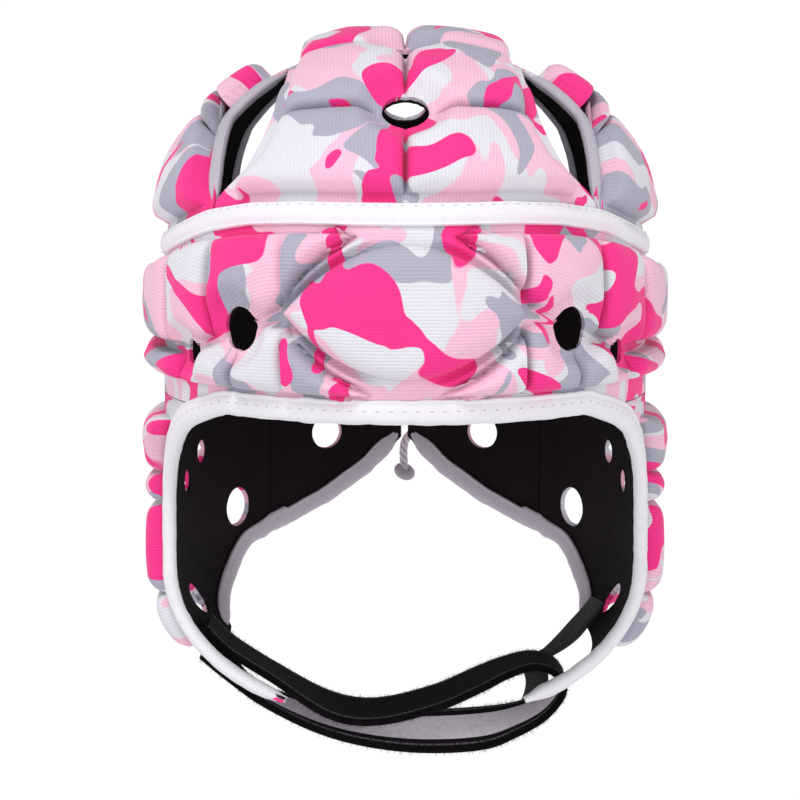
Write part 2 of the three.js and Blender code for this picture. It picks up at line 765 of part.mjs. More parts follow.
// Edge of the face opening: left flap's tip, cheek, brow, cheek, right flap's tip
function faceEdge(bandPiece, cheekPiece) {
  const down = cheekPiece.rowLines.map((row) => cheekPiece.chart(row, 0));
  const up = down.map(([azimuth, level]) => [-azimuth, level]).reverse();
  const brow = bandPiece.columnLines
    .map((column) => bandAzimuth(0, column))
    .filter((azimuth) => Math.abs(azimuth) < bandReach * cheekRows[0].front - 1)
    .map((azimuth) => [azimuth, levelOf(-browDrop)]);
  return edgeSpots(aroundHead, [...up, ...brow, ...down], 1);
}

// Edge of the nape: laced slit, neck corner, back of the flap
function neckEdgeSpots(rearPiece, cheekPiece) {
  const nape = rearPiece.columnLines.map((azimuth) => [azimuth, rearLevel(azimuth, 1)]).reverse();
  const flap = cheekPiece.rowLines
    .filter((row) => row > neckCornerRow - 1 + 1e-6)
    .map((row) => cheekPiece.chart(row, 1));
  return edgeSpots(aroundHead, [...nape, ...flap], -1);
}

// Outer side of a vent, along the temple panel's front or rear edge
function ventEdge(templePiece, share) {
  const lowest = templeRows.length;
  const rows = templePiece.rowLines.filter((row) => row > 0 && row <= lowest);
  const line = rows.map((row) => templePiece.chart(row, share));
  return edgeSpots(overHead, line, share === 0 ? 1 : -1);
}

// Tape over the seam between band and crown, all round the head
function browTape() {
  const count = 48;
  const line = [];
  for (let i = 0; i < count; i += 1) {
    const azimuth = -180 + (360 * i) / count;
    line.push([azimuth, levelOf(seamHeight(azimuth))]);
  }
  const inner = seamWall + clearance;
  const section = [
    [-browTapeWidth / 2, inner],
    [browTapeWidth / 2, inner],
    [browTapeWidth / 2, inner + tapeThickness],
    [-browTapeWidth / 2, inner + tapeThickness],
  ];
  return sweep(edgeSpots(aroundHead, line, 1, true), section, true);
}

// Strap: a flat ribbon whose width lies front to back
function chinStrap() {
  const onFlap = (out) => (level) => {
    const place = aroundHead(-strapReach * bandReach, level, out);
    return [place.x, place.z];
  };
  const stops = [
    ...strapOuterLevels.map(onFlap(seamWall + clearance + strapThickness / 2)),
    ...strapRoute.map(({ across, down }) => [across * headHalfWidth, -domeHeight - sideDrop - down * jawDrop]),
    ...strapInnerLevels.map(onFlap(-clearance - liningSag - strapThickness / 2)),
  ];
  const level = (levels) => levels.map(() => 0);
  const leans = [...level(strapOuterLevels), ...strapRoute.map(({ lean }) => lean), ...level(strapInnerLevels)];
  const steps = 2 * (stops.length - 1);
  const points = [];
  for (let i = 0; i <= steps; i += 1) {
    const at = (i / steps) * (stops.length - 1);
    const [x, z] = [through(stops.map((stop) => stop[0]), at), through(stops.map((stop) => stop[1]), at)];
    points.push(new THREE.Vector3(x, 0, z));
  }
  const across = new THREE.Vector3(0, 1, 0);
  const spots = points.map((point, index) => {
    const before = points[Math.max(index - 1, 0)];
    const after = points[Math.min(index + 1, points.length - 1)];
    const normal = after.clone().sub(before).normalize().cross(across);
    const share = point.x / headHalfWidth;
    const middle = -jawForward * (strapBack + strapBow * (1 - share * share));
    const lean = through(leans, (index / steps) * (stops.length - 1));
    return (into, out) =>
      point.clone().add(new THREE.Vector3(0, middle + into, lean * into)).addScaledVector(normal, out);
  });
  const [w, t] = [strapWidth / 2, strapThickness / 2];
  return sweep(spots, [[-w, -t], [w, -t], [w, t], [-w, t]]);
}

// Webbing loop that holds the strap on the right flap
function strapKeeper() {
  const line = keeperRoute.map(({ reach, drop }) => [reach * bandReach, dropLevel(drop)]);
  const spots = edgeSpots(aroundHead, line, 1).map((spot, index) => {
    return (into, out) => spot(into, keeperRoute[index].out * keeperThickness + out);
  });
  const [w, t] = [keeperWidth / 2, keeperThickness / 2];
  return sweep(spots, [[-w, -t], [w, -t], [w, t], [-w, t]]);
}

// Lace: a tail with a knot, then crossings up the slit
function rearLace() {
  const out = seamWall + laceDiameter / 2 + 2 * clearance;
  const over = tapeThickness + laceDiameter / 2;
  const turns = [];
  for (let i = 0; i <= laceCrossings; i += 1) {
    const side = i % 2 === 0 ? laceTurn : -laceTurn;
    turns.push(aroundHead(side, rearLevel(laceTurn, 1 - laceFoot - i * laceRise), out));
  }
  const gap = aroundHead(180, rearLevel(laceTurn, 1), out + over);
  const knot = gap.clone().add(new THREE.Vector3(0, 0, -laceTail));
  const path = new THREE.CatmullRomCurve3([knot, gap, ...turns], false, 'centripetal');
  const section = new THREE.Shape();
  section.absarc(0, 0, laceDiameter / 2, 0, 2 * Math.PI);
  const tube = new THREE.ExtrudeGeometry(section, { steps: 30, curveSegments: 3, extrudePath: path });
  const ball = new THREE.IcosahedronGeometry(laceKnotDiameter / 2, 1);
  ball.translate(knot.x, knot.y, knot.z);
  return fromManifold(toManifold(tube).add(toManifold(ball)));
}

const cloth = { roughness: 0.85, metalness: 0 };
const group = new THREE.Group();

function addPart(name, geometry, colour) {
  const material = new THREE.MeshStandardMaterial({ color: colour, ...cloth });
  const mesh = new THREE.Mesh(geometry, material);
  mesh.name = name;
  group.add(mesh);
}

const band = bandPanel();
const crown = crownPanel();
const temple = templePanel();
const rear = rearPanel();
const rightCheek = cheekPanel(rightFlapEnd);
const leftCheek = cheekPanel(leftFlapEnd);

const faceSpots = faceEdge(band, leftCheek);
const faceRoom = bindingRoom(faceSpots, faceTapeWidth);
const rightNeckSpots = neckEdgeSpots(rear, rightCheek);
const leftNeckSpots = neckEdgeSpots(rear, leftCheek);
const rightNeckRoom = bindingRoom(rightNeckSpots, neckTapeWidth);
const leftNeckRoom = bindingRoom(leftNeckSpots, neckTapeWidth);
const ventSpots = [ventEdge(temple, 0), ventEdge(temple, 1)];
const ventRooms = ventSpots.map((spots) => bindingRoom(spots, ventTapeWidth));

const bandCuts = bothSides(bandHoles).map(({ azimuth, share, diameter }) =>
  punchAround(azimuth, bandLevel(azimuth, share), diameter));
bandCuts.push(faceRoom);
addPart('forehead_band', punched(band.panel, bandCuts), camoPink);
addPart('forehead_lining', punched(band.lining, bandCuts), liningBlack);

const crownCuts = crownHoles.map(punchOver);
addPart('crown_panel', punched(crown.panel, crownCuts), camoPink);
addPart('crown_lining', punched(crown.lining, crownCuts), liningBlack);

const templeShell = punched(temple.panel, ventRooms);
const templeSheet = punched(temple.lining, ventRooms);
addPart('right_temple_panel', templeShell, camoPink);
addPart('right_temple_lining', templeSheet, liningBlack);
addPart('left_temple_panel', mirrored(templeShell), camoPink);
addPart('left_temple_lining', mirrored(templeSheet), liningBlack);

const rearCuts = rearHoles.map(({ across, share, diameter }) =>
  punchAround(rearAzimuth(across), rearLevel(rearAzimuth(across), share), diameter));
rearCuts.push(rightNeckRoom);
const rearShell = punched(rear.panel, rearCuts);
const rearSheet = punched(rear.lining, rearCuts);
addPart('right_rear_panel', rearShell, camoPink);
addPart('right_rear_lining', rearSheet, liningBlack);
addPart('left_rear_panel', mirrored(rearShell), camoPink);
addPart('left_rear_lining', mirrored(rearSheet), liningBlack);

const cheekPunches = cheekHoles.map(({ reach, share, diameter }) =>
  punchAround(reach * bandReach, dropLevel(share), diameter));
const rightCuts = [...cheekPunches, faceRoom, rightNeckRoom];
const leftCuts = [...cheekPunches, faceRoom, leftNeckRoom];
addPart('right_cheek_panel', punched(rightCheek.panel, rightCuts), camoPink);
addPart('right_cheek_lining', punched(rightCheek.lining, rightCuts), liningBlack);
addPart('left_cheek_panel', mirrored(punched(leftCheek.panel, leftCuts)), camoPink);
addPart('left_cheek_lining', mirrored(punched(leftCheek.lining, leftCuts)), liningBlack);

addPart('face_binding', sweep(faceSpots, bindingSection(faceTapeWidth)), tapeWhite);
addPart('right_neck_binding', sweep(rightNeckSpots, bindingSection(neckTapeWidth)), tapeWhite);
addPart('left_neck_binding', mirrored(sweep(leftNeckSpots, bindingSection(neckTapeWidth))), tapeWhite);
addPart('brow_tape', browTape(), tapeWhite);
for (const [place, spots] of [['front', ventSpots[0]], ['rear', ventSpots[1]]]) {
  const binding = sweep(spots, bindingSection(ventTapeWidth));
  addPart(`right_${place}_vent_binding`, binding, tapeWhite);
  addPart(`left_${place}_vent_binding`, mirrored(binding), tapeWhite);
}

addPart('chin_strap', chinStrap(), strapBlack);
addPart('strap_keeper', strapKeeper(), strapBlack);
addPart('rear_lace', rearLace(), laceGrey);

export default group;
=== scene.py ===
import bpy
import math
import numpy as np
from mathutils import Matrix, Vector, noise


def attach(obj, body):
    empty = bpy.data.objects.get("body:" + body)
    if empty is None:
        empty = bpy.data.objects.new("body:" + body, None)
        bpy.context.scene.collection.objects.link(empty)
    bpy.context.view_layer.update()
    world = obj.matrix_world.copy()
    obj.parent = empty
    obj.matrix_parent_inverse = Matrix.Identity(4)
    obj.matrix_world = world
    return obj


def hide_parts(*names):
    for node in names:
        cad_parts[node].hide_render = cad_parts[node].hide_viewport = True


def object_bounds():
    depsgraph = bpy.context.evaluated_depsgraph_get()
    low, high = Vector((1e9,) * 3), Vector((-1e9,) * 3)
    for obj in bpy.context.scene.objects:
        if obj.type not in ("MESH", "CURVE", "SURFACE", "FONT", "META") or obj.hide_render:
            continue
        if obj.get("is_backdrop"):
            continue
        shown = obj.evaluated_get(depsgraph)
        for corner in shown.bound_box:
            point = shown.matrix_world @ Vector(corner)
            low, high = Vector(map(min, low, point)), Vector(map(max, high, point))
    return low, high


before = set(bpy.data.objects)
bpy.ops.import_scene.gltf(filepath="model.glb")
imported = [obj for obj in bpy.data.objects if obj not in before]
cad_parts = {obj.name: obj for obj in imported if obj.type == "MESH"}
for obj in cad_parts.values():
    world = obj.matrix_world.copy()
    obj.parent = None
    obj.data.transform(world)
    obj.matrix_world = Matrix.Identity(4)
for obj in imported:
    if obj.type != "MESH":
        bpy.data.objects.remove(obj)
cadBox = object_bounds()
print("frame loaded")

# The head form that the panels lie on, in metres, and the walls measured out from it
headForm = {
    "halfWidth": 0.079, "front": 0.092, "back": 0.098, "dome": 0.078, "side": 0.094,
    "jaw": 0.048, "jawForward": 0.025, "domePower": 2.27, "jawPower": 2.1,
}
walls = {"lining": 0.001, "seam": 0.0023, "pad": 0.0102, "gap": 0.0003, "tape": 0.0007}
seams = {"browDrop": 0.034, "crownReach": 51.3, "crownHalf": 27.2}
meshStep = 0.0014  # one quad of the knit surface
sides = {"right": np.array([1, 1, 1]), "left": np.array([-1, 1, 1])}


def deselectAll():
    if bpy.context.mode != "OBJECT":
        bpy.ops.object.mode_set(mode="OBJECT")
    bpy.ops.object.select_all(action="DESELECT")


def makeActive(piece):
    deselectAll()
    piece.select_set(True)
    bpy.context.view_layer.objects.active = piece


def inEditMode(piece):
    makeActive(piece)
    bpy.ops.object.mode_set(mode="EDIT")
    bpy.ops.mesh.select_all(action="SELECT")


def applyAll(piece):
    makeActive(piece)
    for modifier in list(piece.modifiers):
        bpy.ops.object.modifier_apply(modifier=modifier.name)


def standFor(piece, node):
    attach(piece, "root")
    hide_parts(node)


def together(*values):
    return np.broadcast_arrays(*(np.asarray(value, float) for value in values))


def unit(vectors):
    return vectors / np.linalg.norm(vectors, axis=-1, keepdims=True)


def aroundHead(azimuth, level, out=0.0):
    # level: 1 at the crown's top, 0 at the dome's foot, -1 where the jaw starts, -2 at its lowest
    azimuth, level, out = together(azimuth, level, out)
    angle = np.radians(azimuth)
    width = headForm["halfWidth"] + out
    length = np.where(np.abs(azimuth) < 90, headForm["front"], headForm["back"]) + out
    up = np.clip(level, 0, 1)
    sunk = np.sin(np.clip(-level - 1, 0, 1) * math.pi / 2)
    girth = (1 - up ** headForm["domePower"]) ** (1 / headForm["domePower"])
    girth = np.where(level < -1, (1 - sunk ** headForm["jawPower"]) ** (1 / headForm["jawPower"]), girth)
    z = (headForm["dome"] + out) * up - headForm["dome"]
    z = z + np.clip(level, -1, 0) * headForm["side"] - (headForm["jaw"] + out) * sunk
    forward = np.where(level < -1, headForm["jawForward"] * (1 - girth), 0)
    return np.stack([width * girth * np.sin(angle), -length * girth * np.cos(angle) - forward, z], axis=-1)


def overHead(across, along, out=0.0):
    # degrees across and along from the dome's top
    across, along, out = together(across, along, out)
    fall = np.radians(np.hypot(across, along))
    angle = np.arctan2(across, -along)
    power = headForm["domePower"]
    reach = (np.sin(fall) ** power + np.abs(np.cos(fall)) ** power) ** (-1 / power)
    girth = np.sin(fall) * reach
    width = headForm["halfWidth"] + out
    length = np.where(along < 0, headForm["front"], headForm["back"]) + out
    z = (headForm["dome"] + out) * np.cos(fall) * reach - headForm["dome"]
    return np.stack([width * girth * np.sin(angle), -length * girth * np.cos(angle), z], axis=-1)


def levelOf(height):
    height = np.asarray(height, float)
    return np.where(height > 0, height / headForm["dome"], height / headForm["side"])


def lerp(a, b, share):
    return a + (b - a) * share


def curveBetween(before, start, end, after, share):
    # smooth curve from start to end, led by the values on either side
    ease = share * share * (3 - 2 * share)
    leave = (end - before) / 2 * share * (1 - share) ** 2
    arrive = (after - start) / 2 * share ** 2 * (share - 1)
    return start + (end - start) * ease + leave + arrive


def through(values, position):
    # smooth curve through equally spaced values
    values = np.asarray(values, float)
    position = np.asarray(position, float)
    last = len(values) - 1
    index = np.clip(np.floor(position).astype(int), 0, last - 1)
    around = [values[np.clip(index + k, 0, last)] for k in (-1, 0, 1, 2)]
    return curveBetween(*around, position - index)


def onLines(lines, row, smooth=False):
    # place between stacked border lines: straight, or smooth save in the first and last row
    last = len(lines) - 1
    index = np.clip(np.floor(row).astype(int), 0, last - 1)
    around = [np.take_along_axis(lines, np.clip(index + k, 0, last)[None], 0)[0] for k in (-1, 0, 1, 2)]
    straight = lerp(around[1], around[2], row - index)
    if not smooth:
        return straight
    return np.where((index == 0) | (index == last - 1), straight, curveBetween(*around, row - index))


browSeam = {
    "azimuth": [0, 25, 38, 52, 64, 75, 90, 180],
    "level": [0.36, 0.362, 0.35, 0.313, 0.254, 0.205, 0.18, 0.18],
}
napeEdge = {"azimuth": [142, 148, 159, 170, 179.1], "drop": [0.405, 0.387, 0.345, 0.28, 0.199]}


def seamHeight(azimuth):
    return headForm["dome"] * np.interp(np.abs(azimuth), browSeam["azimuth"], browSeam["level"])


def dropLevel(share):
    start = -(seams["browDrop"] + walls["gap"]) / headForm["side"]
    return lerp(start, -2, np.asarray(share, float))


def seamFromTop(azimuth, lift):
    # degrees across and along of a place lifted above the brow seam
    level = levelOf(seamHeight(azimuth) + lift)
    power = headForm["domePower"]
    girth = (1 - level ** power) ** (1 / power)
    fall = np.degrees(np.arctan2(girth, level))
    return fall * np.sin(np.radians(azimuth)), -fall * np.cos(np.radians(azimuth))


# Mesh making: a grid primitive whose points are laid where the surface wants them

def readAll(items, name, width=1, kind=float):
    values = np.empty(len(items) * width, kind)
    items.foreach_get(name, values)
    return values.reshape(-1, width) if width > 1 else values


def laidGrid(name, points, uv, outward=None):
    rows, columns = points.shape[:2]
    deselectAll()
    bpy.ops.mesh.primitive_grid_add(x_subdivisions=columns - 1, y_subdivisions=rows - 1, size=2)
    piece = bpy.context.active_object
    piece.name = name
    mesh = piece.data
    mesh.name = name
    flat = readAll(mesh.vertices, "co", 3)
    i = np.rint((flat[:, 1] + 1) / 2 * (rows - 1)).astype(int)
    j = np.rint((flat[:, 0] + 1) / 2 * (columns - 1)).astype(int)
    mesh.vertices.foreach_set("co", points[i, j].ravel())
    loops = readAll(mesh.loops, "vertex_index", kind=int)
    layer = mesh.uv_layers[0] if mesh.uv_layers else mesh.uv_layers.new(name="UVMap")
    layer.data.foreach_set("uv", uv[i, j][loops].ravel())
    mesh.update()
    if outward is not None:
        middle = (rows // 2, columns // 2)
        face = min(mesh.polygons, key=lambda f: (f.center - Vector(points[middle])).length)
        if face.normal.dot(Vector(outward[middle])) < 0:
            inEditMode(piece)
            bpy.ops.mesh.flip_normals()
            bpy.ops.object.mode_set(mode="OBJECT")
    return piece, i, j


holeDepth = 0.03  # how far along its axis a hole reaches, either way
snapSteps = 1.8  # how many quads away the edge that is left is drawn onto the circle


def fromAxis(points, centre, axis):
    offset = points - centre
    depth = offset @ axis
    radial = offset - depth[..., None] * axis
    return radial, np.linalg.norm(radial, axis=-1), np.abs(depth) < holeDepth


def punchHoles(piece, holes):
    # cuts round holes: points inside go, and those left round the edge are drawn onto the circle
    mesh = piece.data
    for centre, axis, radius in holes:
        radial, distance, near = fromAxis(readAll(mesh.vertices, "co", 3), centre, axis)
        inside = near & (distance < radius)
        if not inside.any():
            continue
        inEditMode(piece)
        bpy.ops.mesh.select_mode(type="VERT")
        bpy.ops.mesh.select_all(action="DESELECT")
        bpy.ops.object.mode_set(mode="OBJECT")
        mesh.vertices.foreach_set("select", inside)
        bpy.ops.object.mode_set(mode="EDIT")
        bpy.ops.mesh.delete(type="VERT")
        bpy.ops.object.mode_set(mode="OBJECT")
        uses = np.bincount(readAll(mesh.loops, "edge_index", kind=int), minlength=len(mesh.edges))
        border = np.zeros(len(mesh.vertices), bool)
        border[readAll(mesh.edges, "vertices", 2, int)[uses == 1]] = True
        points = readAll(mesh.vertices, "co", 3)
        radial, distance, near = fromAxis(points, centre, axis)
        drawn = border & near & (distance < radius + snapSteps * meshStep)
        points[drawn] += radial[drawn] * (radius / distance[drawn] - 1)[:, None]
        mesh.vertices.foreach_set("co", points.ravel())
        mesh.update()


def fineLines(borders, lengthOf):
    # every border of the quilting with even steps between, each line's cell and each border's line
    lines, cells, starts = [], [], []
    for cell, (low, high) in enumerate(zip(borders, borders[1:])):
        starts.append(len(lines))
        steps = max(2, int(math.ceil(lengthOf(low, high) / meshStep)))
        lines += [lerp(low, high, step / steps) for step in range(steps)]
        cells += [cell] * steps
    starts.append(len(lines))
    return np.array(lines + [borders[-1]]), np.array(cells + [cells[-1]]), np.array(starts)


def roundedRise(distance, radius):
    return (1 - (1 - np.clip(distance / radius, 0, 1)) ** 2.5) ** (1 / 2.5)


def smoothStep(value, low, high):
    share = np.clip((value - low) / (high - low), 0, 1)
    return share * share * (3 - 2 * share)


# Rounding of the cushions, their low rim round a hole, and slight puckers over all
padLook = {
    "edge": 0.0068, "flat": 0.84, "crownDown": 0.013, "crownAlong": 0.02,
    "holeFoot": 0.12, "holeFlat": 0.0006, "holeSlope": 0.0075,
    "puckers": 95, "pucker": 0.0007, "puckerFrom": 0.003,
}


def quiltSurface(surface, chart, rows, columns, isPad, holes=(), extra=None, height=None):
    # samples one panel: the points of its base, the wall over it and lengths along both ways
    def rowLength(a, b):
        return max(np.linalg.norm(surface(*chart(a, c), 0) - surface(*chart(b, c), 0)) for c in columns)

    def columnLength(a, b):
        return max(np.linalg.norm(surface(*chart(r, a), 0) - surface(*chart(r, b), 0)) for r in rows)

    rowLines, rowCells, rowStarts = fineLines(rows, rowLength)
    columnLines, columnCells, columnStarts = fineLines(columns, columnLength)
    u, v = chart(rowLines[:, None], columnLines[None, :])
    u, v = np.broadcast_arrays(u, v)
    base = surface(u, v, 0.0)
    down = np.zeros(base.shape[:2])
    down[1:] = np.cumsum(np.linalg.norm(np.diff(base, axis=0), axis=2), axis=0)
    along = np.zeros(base.shape[:2])
    along[:, 1:] = np.cumsum(np.linalg.norm(np.diff(base, axis=1), axis=2), axis=1)
    along -= along[:, [len(columnLines) // 2]]
    rowLow, rowHigh = down[rowStarts[rowCells]], down[rowStarts[rowCells + 1]]
    columnLow, columnHigh = along[:, columnStarts[columnCells]], along[:, columnStarts[columnCells + 1]]
    cells = np.array([[isPad(r, c) for c in range(len(columns) - 1)] for r in range(len(rows) - 1)], float)
    pads = cells[rowCells][:, columnCells]
    toRow = np.minimum(down - rowLow, rowHigh - down)
    toColumn = np.minimum(along - columnLow, columnHigh - along)
    info = {
        "rowCells": rowCells, "columnCells": columnCells, "toRow": toRow, "toColumn": toColumn, "base": base,
        "down": down, "along": along, "rowLow": rowLow, "rowHigh": rowHigh,
    }
    look = padLook
    if height is None:
        rise = roundedRise(toRow, look["edge"]) * roundedRise(toColumn, look["edge"])
    else:
        rise = height(info, look["edge"])
    inner = np.clip(toRow / look["crownDown"], 0, 1) * np.clip(toColumn / look["crownAlong"], 0, 1)
    raised = pads * rise * lerp(look["flat"], 1, inner)
    clear = np.ones_like(raised)
    for centre, axis, radius in holes:
        radial, spread, near = fromAxis(base, centre, axis)
        slope = smoothStep(spread, radius + look["holeFlat"], radius + look["holeSlope"])
        clear *= np.where(near, lerp(look["holeFoot"], 1, slope), 1)
    wall = walls["seam"] + (walls["pad"] - walls["seam"]) * raised * clear
    if extra is not None:
        wall = wall + extra(info)
    pucker = np.array([[noise.noise(Vector(p) * look["puckers"]) for p in line] for line in base[::3, ::3]])
    grown = np.kron(pucker, np.ones((3, 3)))[: base.shape[0], : base.shape[1]]
    for _ in range(3):
        moved = [np.roll(grown, step, axis) for axis in (0, 1) for step in (1, -1)]
        grown = (grown + sum(moved)) / 5
    wall = wall + look["pucker"] * grown * np.clip((wall - walls["seam"]) / look["puckerFrom"], 0, 1)
    info["u"], info["v"], info["wall"] = u, v, wall
    return info


def paddedPanel(name, node, surface, info, holes, ribsDown, patternShift, side=sides["right"]):
    points = surface(info["u"], info["v"], info["wall"])
    outward = points - info["base"]
    uv = np.stack([info["along"], info["down"]], axis=-1) * 10
    if ribsDown:
        uv = uv[..., ::-1]
    uv = uv + np.array(patternShift)
    piece, i, j = laidGrid(name, points * side, uv, outward * side)
    group = piece.vertex_groups.new(name="wall")
    depth = info["wall"] - walls["lining"] - walls["gap"]
    full = float(depth.max())
    weights = depth[i, j] / full
    for index, weight in enumerate(weights):
        group.add([index], float(weight), "REPLACE")
    punchHoles(piece, [(c * side, a * side, r) for c, a, r in holes])
    solid = piece.modifiers.new("wall", "SOLIDIFY")
    solid.thickness = full
    solid.offset = -1
    solid.vertex_group = "wall"
    solid.material_offset_rim = 1
    solid.use_even_offset = False
    applyAll(piece)
    bpy.ops.object.shade_smooth_by_angle(angle=math.radians(55))
    piece.vertex_groups.clear()
    piece.data.materials.append(knitMaterial)
    piece.data.materials.append(foamPaintedShadeMaterial)
    standFor(piece, node)


# Lining: its cloth, and the share of its flat rectangle that the cut outline fills
liningLook = {"thick": 0.0008, "clear": 0.0001, "tuck": 0.00015, "tuckRise": 0.004, "hole": 0.0002,
              "cutShare": 0.8}


def liningSheet(name, node, surface, info, holes, side=sides["right"]):
    u, v, look = info["u"], info["v"], liningLook
    tuck = look["tuck"] * (1 - smoothStep(info["wall"], walls["seam"], walls["seam"] + look["tuckRise"]))
    points = surface(u, v, walls["lining"] - look["clear"] + tuck)
    uv = np.stack([info["along"], info["down"]], axis=-1) * 10
    piece = laidGrid(name, points * side, uv, (points - surface(u, v, -0.002)) * side)[0]
    punchHoles(piece, [(c * side, a * side, r + look["hole"]) for c, a, r in holes])
    solid = piece.modifiers.new("cloth", "SOLIDIFY")
    solid.thickness = look["thick"]
    solid.offset = -1
    applyAll(piece)
    bpy.ops.object.shade_smooth_by_angle(angle=math.radians(50))
    piece.data.materials.append(liningMaterial)
    wide = float(np.ptp(info["along"]))
    standFor(piece, node)


def makePanel(label, node, surface, info, holes, ribsDown, patternShift, side=sides["right"]):
    paddedPanel(label + "Knit", node, surface, info, holes, ribsDown, patternShift, side)
    liningSheet(label + "LiningCloth", node.replace("panel", "lining"), surface, info, holes, side)


def holeAt(surface, u, v, diameter):
    foot = surface(u, v, 0.0)
    axis = surface(u, v, 0.01) - foot
    return foot, axis / np.linalg.norm(axis), diameter / 2


# Materials

def linear(text):
    parts = [int(text[k:k + 2], 16) / 255 for k in (1, 3, 5)]
    return tuple(c / 12.92 if c <= 0.04045 else ((c + 0.055) / 1.055) ** 2.4 for c in parts) + (1.0,)


def addNode(tree, kind, inputs=None, **settings):
    node = tree.nodes.new(kind)
    for name, value in settings.items():
        setattr(node, name, value)
    for socket, value in (inputs or {}).items():
        if isinstance(value, bpy.types.NodeSocket):
            tree.links.new(value, node.inputs[socket])
        else:
            node.inputs[socket].default_value = value
    return node


def newMaterial(name, coordinate="UV"):
    material = bpy.data.materials.new(name)
    material.use_nodes = True
    tree = material.node_tree
    tree.nodes.clear()
    return material, tree, addNode(tree, "ShaderNodeTexCoord").outputs[coordinate]


def finishMaterial(tree, colour, roughness, height=None, distance=0.0002, strength=0.5, sheen=0.0, gloss=0.3):
    shader = addNode(tree, "ShaderNodeBsdfPrincipled", {
        "Base Color": colour, "Roughness": roughness, "Sheen Weight": sheen, "Specular IOR Level": gloss})
    if height is not None:
        bump = addNode(tree, "ShaderNodeBump", {"Height": height, "Distance": distance, "Strength": strength})
        tree.links.new(bump.outputs["Normal"], shader.inputs["Normal"])
    output = addNode(tree, "ShaderNodeOutputMaterial")
    tree.links.new(shader.outputs["BSDF"], output.inputs["Surface"])


def mixColour(tree, factor, a, b, blend="MIX"):
    mix = addNode(tree, "ShaderNodeMix", {0: factor, 6: a, 7: b}, data_type="RGBA", blend_type=blend)
    return mix.outputs[2]


def maths(tree, operation, a, b=0.0):
    return addNode(tree, "ShaderNodeMath", {0: a, 1: b}, operation=operation).outputs[0]


def times(tree, a, b):
    return maths(tree, "MULTIPLY", a, b)


def plus(tree, a, b):
    return maths(tree, "ADD", a, b)


def awayFrom(tree, value, place):
    return maths(tree, "ABSOLUTE", maths(tree, "SUBTRACT", value, place))


def ranged(tree, value, low, high, start=0.0, end=1.0):
    return addNode(tree, "ShaderNodeMapRange", {"Value": value, "From Min": low, "From Max": high,
                   "To Min": start, "To Max": end}).outputs[0]


waveRate = 31.4  # scale of a wave node on these UVs for lines 1 mm apart


def threads(tree, place, spacing, direction, **more):
    # knitted, woven or braided lines, their spacing in millimetres
    inputs = {"Vector": place, "Scale": waveRate / spacing}
    inputs.update({name.replace("_", " "): value for name, value in more.items()})
    return addNode(tree, "ShaderNodeTexWave", inputs, bands_direction=direction).outputs["Fac"]


def speckle(tree, place, scale, detail=2.0, roughness=0.5):
    inputs = {"Vector": place, "Scale": scale, "Detail": detail, "Roughness": roughness}
    return addNode(tree, "ShaderNodeTexNoise", inputs).outputs["Fac"]


def pits(tree, place, scale):
    return addNode(tree, "ShaderNodeTexVoronoi", {"Vector": place, "Scale": scale}).outputs["Distance"]


# Printed knit: polyester jersey with ribs 1.1 mm apart and blotches 15 to 25 mm across, with painted shade in
# the rib grooves and in the creases
knitLook = {
    "ribs": 1.05, "stitches": 0.8, "fuzz": 160.0, "paintedCreaseShadeReach": 0.007, "paintedCreaseShade": 0.68, "ground": "#F9C4DC",
    "prints": [("#E6E4ED", (3.1, 1.7, 0), 24.0, 0.505), ("#B2B0C1", (7.3, 4.9, 0), 22.8, 0.565),
               ("#FF3290", (11.7, 8.2, 0), 22.8, 0.57)],
}


def blotches(tree, place, shift, size, low):
    moved = addNode(tree, "ShaderNodeMapping", {"Vector": place, "Location": shift}).outputs[0]
    spots = addNode(tree, "ShaderNodeTexNoise", {"Vector": moved, "Scale": 100 / size, "Detail": 1.2,
                    "Roughness": 0.42, "Distortion": 0.55}, noise_dimensions="2D").outputs["Fac"]
    return ranged(tree, spots, low, low + 0.006)


def makeKnit():
    material, tree, place = newMaterial("printedPolyesterKnit")
    look = knitLook
    colour = linear(look["ground"])
    for ink, shift, size, low in look["prints"]:
        colour = mixColour(tree, blotches(tree, place, shift, size, low), colour, linear(ink))
    rib = threads(tree, place, look["ribs"], "Y", Distortion=0.25, Detail=1.0, Detail_Scale=0.6)
    stitch = threads(tree, place, look["stitches"], "X")
    fuzz = speckle(tree, place, look["fuzz"], 3.0)
    # painted shade: ambient occlusion darkens the colour in creases and between pads
    around = addNode(tree, "ShaderNodeAmbientOcclusion", {"Distance": look["paintedCreaseShadeReach"]}, samples=8)
    # painted shade darkens the colour in the rib grooves, times a random fuzz tone
    tone = times(tree, ranged(tree, rib, 0.0, 1.0, 0.92, 1.01), ranged(tree, fuzz, 0.3, 0.7, 0.95, 1.03))
    tone = times(tree, tone, ranged(tree, around.outputs["AO"], 0.35, 0.85, look["paintedCreaseShade"], 1.0))
    height = plus(tree, times(tree, rib, 0.75), plus(tree, times(tree, stitch, 0.1), times(tree, fuzz, 0.3)))
    colour = mixColour(tree, 1.0, colour, tone, "MULTIPLY")
    finishMaterial(tree, colour, 0.72, height, 0.00028, 0.45, sheen=0.12)
    return material


# Cut edge of the pads: white closed-cell foam between cloth, drawn pale grey as painted shade, with fine
# pores
def makeFoam():
    material, tree, place = newMaterial("foamEdgePaintedShade", "Object")
    pores = pits(tree, place, 2200.0)
    # painted shade: the white foam edge is coloured grey as it lies in shade
    colour = mixColour(tree, pores, linear("#B9B3C0"), linear("#DAD5DE"))
    finishMaterial(tree, colour, 0.9, pores, 0.0002, 0.4)
    return material


